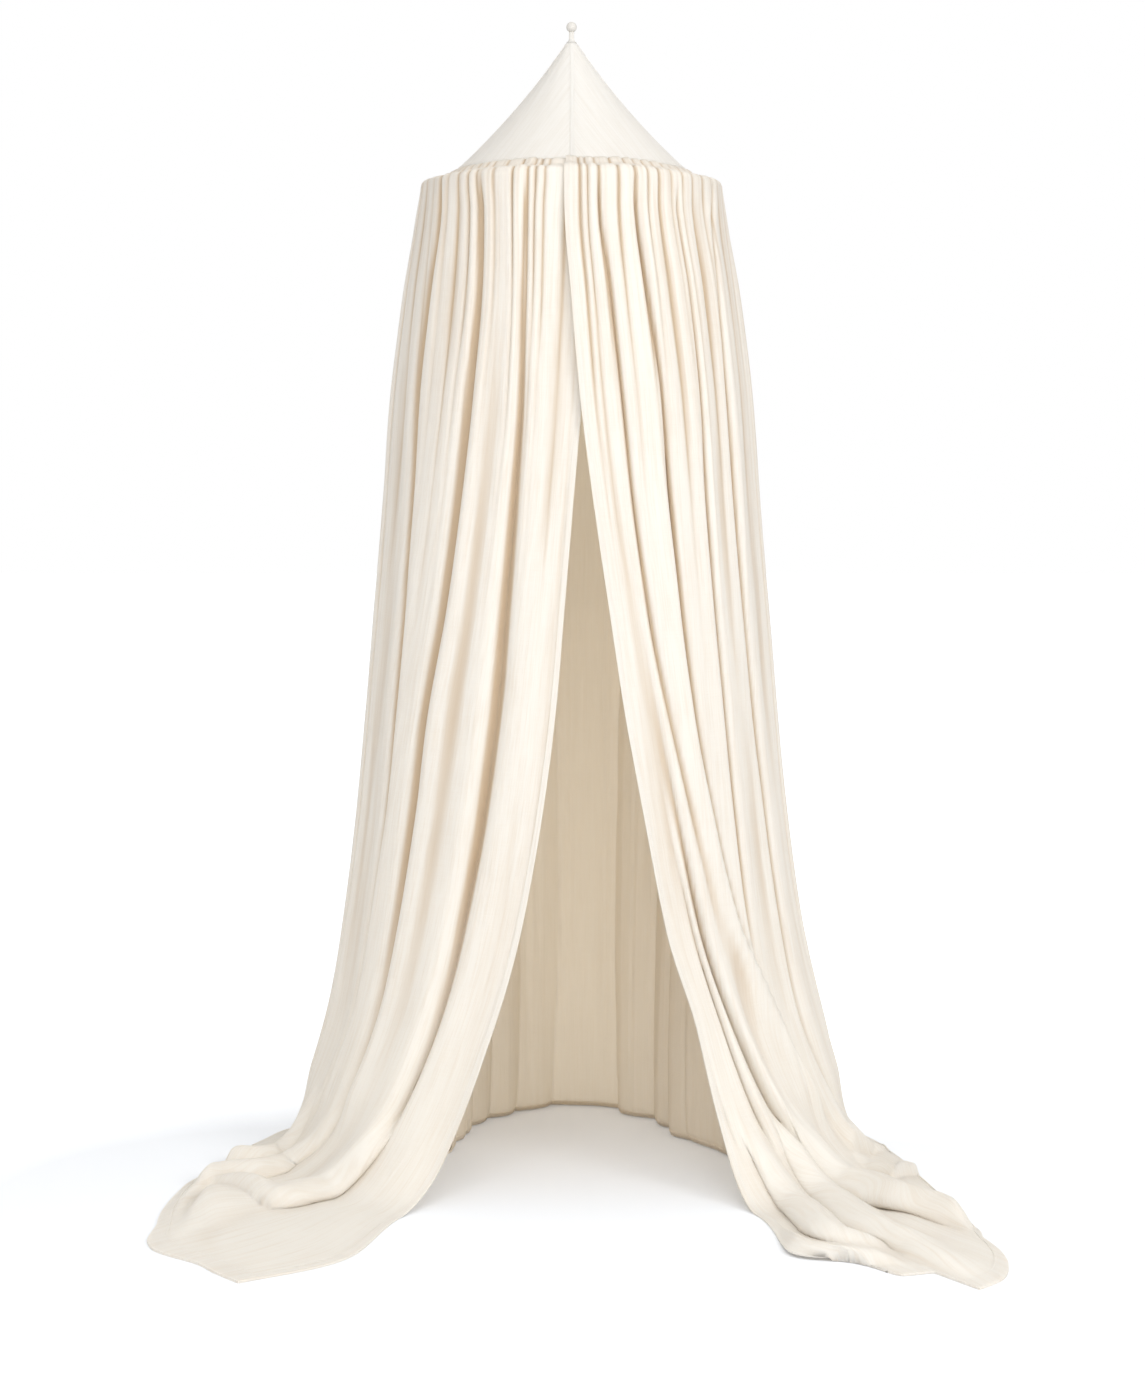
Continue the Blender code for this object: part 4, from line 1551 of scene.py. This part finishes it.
RIGHT = FrontCurtain(
    name="right_drape", width=0.95, length=2.1, seed=23, side=Side.RIGHT, lap=1.0,
    warps=(
        Warp(0.0, 1.0, (-2.5, -2.3, -0.2, 2.6, 6.4, 10.7, 15.1, 20, 25, 30), 0.4074),
        Warp(0.13, 1.0, (14, 13.5, 15, 17.5, 20, 23.5, 27, 30.5, 34, 38), 0.40),
        Warp(1 / 3, 1.05, (41, 39.5, 41, 42.5, 44.2, 45.5, 46.8, 48.5, 50, 51.5), 0.392),
        Warp(2 / 3, 1.17, (88, 86, 86, 86, 85.5, 85, 84, 83.5, 83, 83), 0.412),
        Warp(1.0, 0.85, (135, 135, 135, 135, 135, 135, 135, 135, 135, 133), 0.3525),
    ),
    feet=(
        Foot(0.0, ((28.5, 0.60), (23.1, 0.81), (28.9, 0.896))),
        Foot(0.03, ((31.2, 0.60), (26.5, 0.79), (28.2, 0.935))),
        Foot(0.06, ((33.8, 0.60), (29.4, 0.775), (28.7, 0.972))),
        Foot(0.10, ((38, 0.597), (33, 0.78), (31.6, 0.988))),
        Foot(0.13, ((41, 0.593), (35.4, 0.778), (31.7, 1.082))),
        Foot(0.17, ((44.3, 0.59), (38.4, 0.77), (34.6, 1.066))),
        Foot(0.22, ((48, 0.585), (41.5, 0.755), (38, 1.018))),
        Foot(0.27, ((51.5, 0.573), (44.2, 0.737), (40.8, 0.957))),
        Foot(0.31, ((55, 0.565), (46.2, 0.722), (42.2, 0.92))),
        Foot(0.35, ((58.5, 0.555), (48.6, 0.703), (43, 0.898))),
        Foot(0.40, ((63, 0.543), (52, 0.68), (44.6, 0.873))),
        Foot(0.44, ((66.5, 0.538), (55.5, 0.658), (46.6, 0.826))),
        Foot(0.49, ((71, 0.53), (60, 0.627), (49.6, 0.764))),
        Foot(0.54, ((75.5, 0.522), (64.5, 0.606), (54.4, 0.715))),
        Foot(0.58, ((79.5, 0.515), (68.8, 0.588), (59, 0.668))),
        Foot(0.62, ((83.5, 0.508), (73, 0.57), (64.5, 0.62))),
        Foot(0.67, ((88.5, 0.498), (78, 0.542), (71, 0.573))),
        Foot(0.71, ((92.5, 0.489), (82.5, 0.528), (75, 0.552))),
        Foot(0.76, ((98, 0.474), (88, 0.504), (80, 0.515))),
        Foot(0.82, ((106, 0.45), (95.5, 0.478), (87.5, 0.487))),
        Foot(0.90, ((117, 0.43), (107.5, 0.45), (98.5, 0.466))),
        Foot(1.0, ((132, 0.402), (122, 0.42), (112, 0.435))),
    ),
    creases=(
        Crease((2, 2.2, 3.3, 6, 9.5, 13.5, 18, 22.5, 26.2, 31.4, 33.2, 29.8, 29.9),
               (0, 0, 0, 0, 15, 6), (0, 0, 0, 1, 34, 16), (0, 0, 0, 0, 6, 0),
               (9, 10, 12, 12, 22, 20)),
        Crease((6, 6, 7, 9, 12, 17, 22, 27, 33, 38.3, 42.0, 34.6, 31.9), (0, 0, 0, 2, 6, 2),
               (0, 0, 0, 14, 34, 10), (0, 0, 0, 6, 8, 0), (9, 10, 12, 12, 24, 24)),
        Crease((8, 8, 9, 10.5, 14, 19, 24.5, 30, 36, 42.2, 50, 44.8, 42.6), (0, 0, 0, 3, 6, 2),
               (0, 0, 4, 26, 46, 26), (0, 0, 2, 10, 8, 0)),
        Crease((9.6, 9.6, 12.7, 15.5, 18.5, 22.5, 28, 34, 40, 46, 52, 50, 48), (4, 6, 5, 0, 0, 0),
               (4, 7, 6, 0, 0, 0), (4, 6, 5, 0, 0, 0)),
        Crease((22.8, 22.4, 24.9, 28.4, 30.3, 32.9, 36.2, 41, 47, 57, 72, 75, 79),
               (4, 7, 13, 22, 26, 12), (4, 9, 6, 4, 24, 14), (4, 8, 10, 11, 10, 0)),
        Crease((42.5, 40.6, 42.4, 43.6, 44.4, 46.1, 48.4, 50.4, 52.3, 56, 62, 60, 58.5),
               (3, 6, 9, 2, 12, 12), (4, 8, 10, 2, 14, 12), (4, 7, 9, 2, 6, 0)),
        Crease((67.8, 61.9, 59.4, 58.7, 60, 61.7, 64.2, 66.6, 67.4, 68, 82, 84, 86),
               (4, 6, 8, 10, 8, 4), (4, 7, 9, 9, 8, 4), (3, 6, 7, 6, 3, 0)),
        Crease((84, 83, 83, 83, 83, 83, 83, 83, 83, 84, 93, 92, 90), (4, 5, 7, 9, 8, 4),
               (4, 5, 8, 11, 8, 4), (3, 3, 3, 4, 3, 0)),
        *REAR,
    ),
    rolls=(
        Roll(((239, 381), (261, 396), (283, 415), (306, 445), (326, 490), (343, 570), (354, 640),
              (374, 678), (400, 690), (428, 700), (455, 712)),
             (8, 10, 14, 18, 20, 22, 22, 20, 17, 12, 6),
             (14, 16, 18, 20, 22, 24, 26, 26, 24, 22, 20),
             (30, 35, 40, 50, 60, 60, 60, 55, 50, 40, 30),
             (6, 8, 10, 14, 16, 18, 18, 16, 12, 8, 4)),
        Roll(((297, 324), (329, 345), (352, 375), (376, 420), (396, 487), (410, 560), (427, 635),
              (443, 668), (466, 705), (483, 760), (508, 805), (531, 840), (555, 890)),
             (12, 16, 20, 22, 24, 26, 27, 26, 24, 20, 18, 16, 10),
             (16, 18, 20, 22, 24, 26, 28, 28, 28, 26, 24, 22, 20),
             (40, 45, 50, 60, 60, 60, 60, 60, 70, 80, 80, 80, 70),
             (8, 12, 16, 20, 23, 25, 25, 24, 20, 16, 12, 8, 4)),
        Roll(((309, 299), (338, 312), (372, 330), (406, 360), (438, 400), (464, 465), (491, 496),
              (523, 530), (550, 575), (576, 614), (592, 655)),
             (14, 18, 24, 28, 32, 34, 34, 34, 34, 30, 18),
             (18, 20, 22, 26, 28, 30, 30, 30, 28, 26, 24),
             (50, 60, 80, 90, 90, 90, 85, 75, 60, 50, 40),
             (8, 12, 17, 22, 27, 30, 30, 30, 28, 22, 10)),
        Roll(((400, 190), (430, 185), (455, 190), (482, 165), (512, 135)), (8, 15, 21, 22, 14),
             (22, 24, 26, 26, 26), (34, 40, 46, 46, 42), (1, 2, 3, 3, 1)),
        Roll(((470, 215), (497, 262), (520, 300), (548, 285), (575, 270)), (8, 15, 21, 20, 12),
             (22, 24, 26, 26, 26), (34, 40, 46, 46, 42), (1, 2, 3, 3, 1)),
        Roll(((236, 480), (270, 590), (288, 682), (297, 728), (308, 770), (334, 800), (376, 818),
              (430, 812)), (4, 14, 20, 24, 26, 26, 24, 20), (14, 14, 14, 14, 14, 14, 14, 14),
             (30, 40, 56, 66, 80, 90, 90, 70), (0, 0, 0, 0, 0, 0, 0, 0)),
    ),
    gathers=(2.9, 5.6, 9.9, 17, 23.7, 28.5, 33.4, 39, 45, 51, 58, 65, 73, 80, 88, 95, 102, 110, 117,
             125, 130),
)


@dataclass
class BackPanel(Drape):
    """The back panel, which hangs inside the front curtains in broad soft folds.

    Bearings are from the back, positive to the right; rises and inward values are in mm.
    """

    half: float = 120.0
    draw: float = 0.010
    lines: tuple[float, ...] = (-104, -86, -67, -46, -27, -7.6, 22, 50, 74, 98)
    rises: tuple[float, ...] = (12, 14, 14, 12, 12, 14, 5, 17, 12, 12, 12)
    skews: tuple[float, ...] = (1, 1.3, 0.8, 1, 1.2, 1.6, 1, 0.55, 0.9, 1.1, 1)
    inward: tuple[tuple[float, float], ...] = (
        (-120, 0), (-106, 26), (-85, 44), (-60, 42), (-34, 34), (-18, 8), (-8, -4), (6, -8),
        (20, 4), (28, 24), (48, 42), (66, 54), (88, 54), (98, 36), (106, 4), (112, -30),
        (120, -76))

    def guide(self) -> tuple[Array, Array, Array]:
        """Where the panel's knots lie.

        Returns:
            Their reaches, heights and places down the cloth.
        """
        radii, tops = top_rows(0.0)
        hang = radii[-1] - self.draw
        reach = np.array([*radii, *(hang + off for off in PANEL_OUT)])
        height = np.array([*tops, *PANEL_LEVELS])
        steps = np.hypot(np.diff(reach), np.diff(height))
        knots = np.concatenate([[0], np.cumsum(steps)])
        return reach, height, knots / knots[-1]

    def surface(self, down: Array, across: Array, lift: float) -> tuple[Array, Array, Array]:
        """Where the cloth lies.

        Args:
            down: places of the rows, 0 at the roof seam to 1 at the foot.
            across: places of the columns, 0 to 1.
            lift: how far its middle stays above the floor.

        Returns:
            The middle of the cloth, its outward normals and its painted shade, which is none here.
        """
        reach, height, knots = self.guide()

        def by_row(*values: float) -> Array:
            """Values at the knots, read down the rows; the last one holds for those left out."""
            filled = [*values, *[values[-1]] * (len(knots) - len(values))]
            return eased(knots, filled, down)[:, None]

        bearing = (across[None, :] * 2 - 1) * self.half
        tall = by_row(*height) + 0 * bearing
        base = polar(180 - bearing, by_row(*reach) + 0 * bearing, tall)
        outward = grid_normals(base, -1.0)
        below = ramp(down, knots[BELOW], knots[SECOND])[:, None]
        outward += (unit(base * (1, 1, 0)) - outward) * below[..., None]
        wander = drift(self.seed + 4, down, across, (5, 8)) * 2.2 * ramp(down, 0.1, 0.5)[:, None]
        edges = np.array([-self.half - 8, *self.lines, self.half + 8])
        spot, within = between(edges, bearing + wander)
        within = within ** np.array(self.skews)[spot]
        fold = np.array(self.rises)[spot] / 1000 * (4 * within * (1 - within)) ** 0.8
        grow = by_row(*[0] * BELOW, 0.5, 0.9, 1, 1.05, 1.15, 1.3, 1.2)
        table = np.array(self.inward)
        drawn = eased(table[:, 0], table[:, 1], bearing[0])[None, :] / 1000 * by_row(
            *[0] * BELOW, 0.15, 0.45, 0.8, 1.0)
        count = 38
        uneven = np.arange(1, count) + 0.3 * np.sin(np.arange(count - 1) * 2.3)
        profile = gathered(uneven / count, 0.0065, 0.42, 1.0, self.seed)
        ridge = read_profile(profile, across)[None, :] * by_row(
            0.12, 0.6, 0.85, 0.72, 0.62, 0.58, 0.6, 0.7, 0.8, 0.5, 0.35, 0.25, 0.2)
        bare = 0.06 + 0.94 * (1 - ramp(np.abs(bearing), 38, 46))
        ridge *= 1 - (1 - bare) * (1 - below)
        soft = drift(self.seed, down, across, (10, 60)) * 0.0012
        soft += drift(self.seed + 1, down, across, (6, 24)) * 0.002
        soft *= ramp(down, 0.06, 0.12)[:, None]
        curl = ramp(tall, 0.02, 0.0) * (drift(self.seed + 2, down, across, (8, 22)) * 0.5 + 0.5)
        curl *= 0.005
        points = base + outward * (ridge + soft + curl - fold * grow - drawn)[..., None]
        points[..., 2] = np.maximum(points[..., 2], up(lift + GAP))
        return points, grid_normals(points, -1.0), np.zeros(points.shape[:2])


PANEL = BackPanel(name="back_drape", width=1.25, length=1.72, seed=41, columns=280, rows=160,
                  low=0.93)


@dataclass
class Cloths:
    """The three hung cloths with their hems and stitches."""

    muslin: bpy.types.Material
    inside: bpy.types.Material
    thread: bpy.types.Material
    stitching: Stitching
    hem: float = 0.0105
    foot: float = 0.020
    folded: float = 0.0013

    def hemmed(self, drape: Drape, material: bpy.types.Material) -> list[bpy.types.Object]:
        """A cloth, its edge hems, its foot hem and their stitches.

        Args:
            drape: the cloth.
            material: its finish.

        Returns:
            The cloth's own piece first, then what is sewn on it.
        """
        down, across = drape.down(), np.linspace(0, 1, drape.columns)
        wide, deep = self.hem / drape.width * 1.35, self.foot / drape.length
        thick = CLOTH + self.folded
        fine = np.concatenate([down[down < 0.999], [1.0]])
        edge = np.array([-0.0008, 0.0, wide / 2, wide])
        foot = np.array([1 - deep, 1 - deep / 2, 1.0, 1.0006])
        pieces = [drape.cut(drape.name + part, rows, columns, thickness, material)
                  for part, rows, columns, thickness in (
                      ("", down, across, CLOTH), ("_edge_front", fine, edge, thick),
                      ("_edge_back", fine, 1 - edge[::-1], thick),
                      ("_foot", foot, across, thick + 0.0006))]
        inset, sewn_down = wide * 0.86, fine[6:]
        for key, rows, columns, off in (
                ("front", sewn_down, np.array([inset]), thick / 2),
                ("back", sewn_down, np.array([1 - inset]), thick / 2),
                ("foot", np.array([1 - deep * 0.9]), across, thick / 2 + GAP)):
            line = drape.stitch_line(rows, columns, off)
            pieces.append(self.stitching.piece(f"{drape.name}_stitches_{key}", line, self.thread))
        return pieces

    def hang_leaf(self, drape: FrontCurtain, node: str) -> None:
        """Makes a front curtain and hides the solid that it stands for.

        Args:
            drape: the curtain.
            node: the solid that it stands for.
        """
        pieces = self.hemmed(drape, self.muslin)
        for piece in pieces:
            float(up(HOOP_HEIGHT))
            float(up(1.24))
            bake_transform(piece)
        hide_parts(node)
        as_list(pieces[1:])

    def hang_panel(self) -> None:
        """Makes the back panel, which turns with the canopy."""
        pieces = self.hemmed(PANEL, self.inside)
        tie(pieces, "canopy")
        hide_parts("back_curtain")
        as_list(pieces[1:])


@dataclass
class Roof:
    """Four gores with their seams, and the stitches beside them."""

    cotton: bpy.types.Material
    thread: bpy.types.Material
    stitching: Stitching
    band: float = 0.0062
    band_rise: float = 0.0004

    def meridian(self, start: float, share: float, rise: float,
                 heights: Array) -> tuple[Array, Array]:
        """A line down a seam's band, and the way the cloth faces there.

        Args:
            start: the seam's turn from +X in radians.
            share: share of the way across the band, anticlockwise.
            rise: height above the cloth.
            heights: heights of its points.

        Returns:
            The points and the unit normals.
        """
        radius = roof_radius(heights)
        turn = start + np.clip(self.band * (share - 0.3) / radius, -0.6, 0.6)
        slope = np.gradient(radius, heights)
        normal = unit(np.stack([np.cos(turn), np.sin(turn), -slope], -1))
        return around(radius, turn, heights) + normal * rise, normal

    def sewn_on(self, number: int, start: float) -> list[bpy.types.Object]:
        """The band pressed over a seam and its two rows of stitches.

        Args:
            number: the gore's number, from 1.
            start: the seam's turn from +X in radians.

        Returns:
            The three pieces.
        """
        heights = np.linspace(APEX_HEIGHT - 0.003, SEAM_HEIGHT + 0.0006, 60)
        columns = [self.meridian(start, share, self.band_rise / 2, heights)
                   for share in np.linspace(0, 1, 5)]
        points, normals = (np.stack(part, 1) for part in zip(*columns))
        flat = flat_grid(np.linspace(0, self.band, 5), np.linspace(0, GORE_LONG, len(heights)))
        made = [cloth_piece(f"roof_seam_{number}", points, normals, flat, self.band_rise + 0.0006,
                            self.cotton)]
        for key, share in (("a", 0.12), ("b", 0.85)):
            line = line_mesh(*self.meridian(start, share, self.band_rise + GAP, heights[6:]))
            made.append(self.stitching.piece(f"roof_stitches_{number}{key}", line, self.thread))
        return made

    def build(self) -> None:
        """Makes the gores, bands and stitches and ties them to the canopy."""
        rule = GoreRule()
        plain = bpy.data.meshes.new("blank")
        for number in range(1, 5):
            start = (number - 1) * math.pi / 2
            gore = rule.piece(f"roof_panel_{number}", plain.copy(), self.cotton,
                              {"Start": start, "Seed": number + 1}, ROOF_THICK)
            extras = self.sewn_on(number, start)
            tie([gore, *extras], "canopy")
            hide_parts(f"roof_gore_{number}")
        turn, low = turns(360), SEAM_HEIGHT + 0.0042
        ring = around(roof_radius(low) + 0.0006, turn, low)
        facing = np.stack(np.broadcast_arrays(np.cos(turn), np.sin(turn), 0.75), -1)
        sewn = self.stitching.piece("roof_edge_stitches", line_mesh(ring, facing, True),
                                    self.thread)
        tie([sewn], "canopy")


@dataclass
class Neck:
    """The pleated cloth neck, the bead and the cord inside."""

    cotton: bpy.types.Material
    wood: bpy.types.Material
    cord: bpy.types.Material
    strand_r: float = 0.0008
    lay: float = 0.0075

    def neck(self) -> None:
        """Makes the pleated neck, from the bead's foot down over the roof's apex."""
        cup = HANG - BEAD_HEIGHT - GAP
        top = HANG - BEAD_HEIGHT / 2 - math.sqrt(BEAD_R**2 - NECK_R**2) - GAP
        low, apex = APEX_HEIGHT - CONE_DROP + 0.0008, APEX_HEIGHT
        rim, bore = APEX_R - ROOF_THICK - 0.0004, CORD_BORE + 0.0003
        outer = [
            (0.0028, cup + 0.0001), (NECK_R, top), (0.0043, top - 0.0009), (0.0041, top - 0.0024),
            (0.0041, apex + 0.0075), (0.0046, apex + 0.0050), (0.0057, apex + 0.0030),
            (0.0072, apex + 0.0013), (APEX_R + 0.0001, apex + 0.0003), (rim, apex + 0.00015),
            (rim + 0.0002, apex - 0.0006), (rim + 0.0004, low), (bore, low), (bore, cup)]
        depth = [0, 0.0001, 0.0002, 0.0002, 0.0002, 0.0002, 0.0001, *[0] * 7]
        neck = revolved("neck_cloth", outer[::-1], 96, self.cotton, 12, depth[::-1])
        tie([neck], "canopy")
        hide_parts("neck_sleeve")

    def bead(self) -> None:
        """Makes the turned bead with its bore, whose edges are eased."""
        middle, eased_bore = HANG - BEAD_HEIGHT / 2, CORD_BORE + 0.0001
        end = math.acos((CORD_BORE + 0.0004) / BEAD_R)
        ball = [(BEAD_R * math.cos(a), middle + BEAD_R * math.sin(a))
                for a in np.linspace(-end, end, 33)]
        lip = BEAD_R * math.sin(end)
        bore = [(eased_bore, middle + lip - 0.0004), (CORD_BORE, middle + lip - 0.0014),
                (CORD_BORE, middle - lip + 0.0014), (eased_bore, middle - lip + 0.0004)]
        bead = revolved("bead", ball + bore, 64, self.wood)
        tie([bead], "hanger")
        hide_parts("finial_bead")

    def cord_core(self) -> None:
        """Makes the three twisted strands and the knot under the washer."""
        high, foot = HANG - 0.0015, float(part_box("bead_cord")[0][2]) + HANG
        tall = np.linspace(high, foot, 120)
        strands = [around(0.00078, (tall - foot) * FULL_TURN / self.lay + number * FULL_TURN / 3,
                          tall) for number in range(3)]
        core = tubes("twisted_cord", strands, self.strand_r, 8, self.cord)
        low, top = (float(corner[2]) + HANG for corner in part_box("stopper_knot"))
        count = 110
        swell = 0.0028 - 0.0006 * np.abs(np.linspace(-1, 1, count)) ** 3
        coil = around(swell, np.linspace(0, 5 * math.pi, count),
                      np.linspace(top - 0.0014, low + 0.0014, count))
        knot = tubes("cord_knot", [coil], 0.0013, 10, self.cord)
        tie([core, knot], "hanger")
        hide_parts("bead_cord")
        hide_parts("stopper_knot")

    def build(self) -> None:
        """Makes the neck, the bead and what the bead's bore holds."""
        self.neck()
        self.bead()
        self.cord_core()


@dataclass
class Hoop:
    """What the cloth hides: the hoop's casing and the tape that the cloths' tops are sewn to."""

    cotton: bpy.types.Material
    tape: bpy.types.Material
    thread: bpy.types.Material
    stitching: Stitching
    slit: float = 50.0

    def casing(self) -> None:
        """Makes the casing sewn round the hoop, open along its slit."""
        turn, count = turns(360), 22
        opening, facing = math.radians(self.slit) / 2, math.radians(45)
        section = np.linspace(facing + opening, facing + FULL_TURN - opening, count)
        pucker = 0.00022 * np.sin(turn * 61) + 0.00016 * np.sin(turn * 97 + 1.3)
        radius = CASING_R + pucker[None, :] * np.sin(np.linspace(0, math.pi, count))[:, None]
        points = around(HOOP_R + radius * np.cos(section)[:, None], turn,
                        HOOP_HEIGHT + radius * np.sin(section)[:, None])
        normals = unit(points - around(HOOP_R, turn, HOOP_HEIGHT))
        flat = flat_grid(turn * HOOP_R, section * CASING_R)
        casing = cloth_piece("hoop_casing_cloth", points, normals, flat, 0.0007, self.cotton, True)
        edge = count - 2
        line = line_mesh(points[edge] + normals[edge] * 0.0005, normals[edge], True)
        sewn = self.stitching.piece("casing_stitches", line, self.thread)
        tie([casing, sewn], "canopy")
        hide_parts("hoop_casing")

    def seam_tape(self) -> None:
        """Makes the woven tape: a ring with a lip inside the roof's foot."""
        lip = SEAM_R - TAPE_EASE
        inner, top = lip - TAPE_THICK, SEAM_HEIGHT - ROOF_THICK / 2 - GAP
        first = top_rows(0.0)[1][0] - CLOTH / 2 - GAP
        outer, low = inner + TAPE_WIDTH, first - TAPE_THICK
        fold = [(inner, top), (lip, top), (lip, first), (outer, first), (outer, low), (inner, low)]
        tape = revolved("woven_tape", fold[::-1], 240, self.tape)
        tie([tape], "canopy")
        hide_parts("seam_tape")

    def build(self) -> None:
        """Makes the casing and the tape, and dresses the rods, ferrules and washer."""
        self.casing()
        self.seam_tape()
        for node in ("hoop_rod_front", "hoop_rod_back"):
            self.dress(node, COATED.made())
        for node in ("hoop_ferrule_left", "hoop_ferrule_right", "stopper_washer"):
            self.dress(node, BRIGHT.made())

    @staticmethod
    def dress(node: str, material: bpy.types.Material) -> None:
        """Gives a CAD node a better finish."""
        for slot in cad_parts[node].material_slots:
            slot.material = material


COATED = Metal("white_coated_steel", srgb(236, 234, 230), 0.0, 0.42)
BRIGHT = Metal("bright_steel", srgb(196, 198, 200), 1.0, 0.34)


# -------------------- light and camera


@dataclass(frozen=True)
class Lamp:
    """A square soft lamp that looks at a point."""

    name: str
    place: Point
    aim: Point
    size: float
    watts: float

    def light(self) -> None:
        """Puts the lamp in the scene."""
        data = bpy.data.lights.new(self.name, "AREA")
        data.shape, data.size, data.energy = "SQUARE", self.size, self.watts
        made = in_scene(self.name, data)
        made.location = self.place
        way = Vector(self.aim) - Vector(self.place)
        made.rotation_euler = way.to_track_quat("-Z", "Y").to_euler()


LAMPS = (
    Lamp("key", (2.8, -3.4, 0.6), (0.0, 0.0, -0.9), 1.8, 66.0),
    Lamp("fill", (-2.4, -4.0, -0.5), (0.1, 0.0, -1.3), 2.6, 22.0),
    Lamp("low", (0.0, -3.3, 1.2), (0.0, -0.7, -HANG), 2.2, 52.0),
    Lamp("top", (1.2, -0.6, 2.4), (0.0, 0.0, 0.0), 2.0, 3.0),
)


@dataclass
class Studio:
    """Pale floor, soft lamps and the camera of the photograph.

    The shaded spots are (x, y, radius) discs round the canopy's foot and its two pools: the floor
    keeps the shadow there under a weak painted glow, which also paints shadow round the pools, and
    glows more beyond.
    """

    floor_size: float = 60.0
    ambient: float = 0.78
    sky: Colour = (0.99, 0.996, 1.0)
    paper: Colour = (0.775, 0.79, 0.815)
    shaded_spots: tuple[Point, ...] = ((0.0, 0.0, 0.38), (-0.42, -0.42, 0.5), (0.42, -0.52, 0.5))
    fade: float = 0.42
    near_glow: float = 0.14
    far_glow: float = 0.45
    eye: Point = (0.0016, -4.8, 1.12316 - HANG)
    pitch: float = 4.1358
    focal: float = 2832.45
    frame_width: float = 1145.0
    sensor: float = 36.0

    def camera(self) -> None:
        """Makes the camera, solved from the photograph."""
        data = bpy.data.cameras.new("photo_camera")
        data.sensor_fit, data.sensor_width = "HORIZONTAL", self.sensor
        data.lens = self.focal / self.frame_width * self.sensor
        data.clip_end = 200.0
        made = in_scene("photo_camera", data)
        made.location = self.eye
        made.rotation_euler = (math.radians(90 - self.pitch), 0, 0)
        bpy.context.scene.camera = made

    @staticmethod
    def seen_white(graph: Graph) -> Wire:
        """1 for rays that come straight, mirrored or through glass, else 0.

        Args:
            graph: the tree that asks.

        Returns:
            The value.
        """
        path = graph.node("ShaderNodeLightPath", None, None, "Is Camera Ray")
        rays = path.socket.node.outputs
        mirrored, passed = (Wire(graph, rays[name]) for name in (
            "Is Glossy Ray", "Is Transmission Ray"))
        return (path + mirrored + passed).clamped()

    def world(self) -> None:
        """White to the eye, plain soft light on the object."""
        world = bpy.data.worlds.new("studio")
        world.use_nodes = True
        graph = Graph(world.node_tree)
        seen = self.seen_white(graph)
        sky = graph.node("ShaderNodeBackground", None, {
            "Color": graph.mixed(seen, self.sky, (1.0, 1.0, 1.0)),
            "Strength": seen * (1.0 - self.ambient) + self.ambient})
        graph.node("ShaderNodeOutputWorld", None, {"Surface": sky})
        bpy.context.scene.world = world

    def floor(self) -> None:
        """A wide pale floor that keeps the object's shadow, with a painted glow that is weak round
        the canopy and its pools.
        """
        half, low = self.floor_size / 2, float(up(-0.0002))
        corners = [(x * half, y * half, low) for x, y in ((-1, -1), (1, -1), (1, 1), (-1, 1))]
        mesh = mesh_of("floor", corners, [(0, 1, 2, 3)])
        material, graph = new_material("floor_paper")
        place = graph.place()
        east, north = graph.part(place, "X"), graph.part(place, "Y")
        gaps = [((east - x) * (east - x) + (north - y) * (north - y)) ** 0.5 - reach
                for x, y, reach in self.shaded_spots]
        far = (gaps[0].lesser(gaps[1]).lesser(gaps[2]) / self.fade).clamped()
        shader = graph.node("ShaderNodeBsdfDiffuse", None, {"Color": self.paper})
        # Painted light: emission that only the eye sees, weak in the shaded spots, which paints
        # shadow there, and strong beyond them.
        glow = graph.node("ShaderNodeEmission", None, {
            "Color": (1.0, 1.0, 1.0),
            "Strength": self.seen_white(graph) * (far * self.far_glow + self.near_glow)})
        both = graph.node("ShaderNodeAddShader", None, {0: shader, 1: glow})
        graph.node("ShaderNodeOutputMaterial", None, {"Surface": both})
        mesh.materials.append(material)
        in_scene("floor", mesh)

    def build(self) -> None:
        """Sets up the view, the camera, the world, the floor and the lamps."""
        bpy.context.scene.view_settings.view_transform = "Standard"
        self.camera()
        self.world()
        self.floor()
        for lamp in LAMPS:
            lamp.light()


def main() -> None:
    """Builds the canopy's looks in order."""
    logging.basicConfig(level=logging.INFO, format="%(name)s %(message)s")
    Studio().build()
    muslin = Muslin("curtain_muslin").made()
    roof_cloth = Muslin("roof_muslin", light=srgb(239, 238, 235), dark=srgb(227, 223, 216),
                        slub=0.5, crinkle=0.0009, through=0.3).made()
    thread = Thread("sewing_thread").made()
    cord = Thread("spun_cord", srgb(240, 235, 226), 0.0018).made()
    stitching = Stitching()
    Hoop(roof_cloth, Twill("twill_tape").made(), thread, stitching).build()
    Roof(roof_cloth, thread, stitching).build()
    Neck(roof_cloth, PaintedWood("painted_bead").made(), cord).build()
    # The back panel's muslin is a warmer copy of the curtain muslin: its warmer colours are painted
    # shade for the inside of the canopy. It also lets more light through.
    inside = Muslin("inside_warm_shade_muslin", light=srgb(249, 244, 236), dark=srgb(239, 231, 218),
                    slub=0.45, glow=srgb(252, 244, 230), through=0.53).made()
    cloths = Cloths(muslin, inside, thread, stitching)
    cloths.hang_panel()
    cloths.hang_leaf(LEFT, "left_curtain")
    cloths.hang_leaf(RIGHT, "right_curtain")


if __name__ == "__main__":
    main()
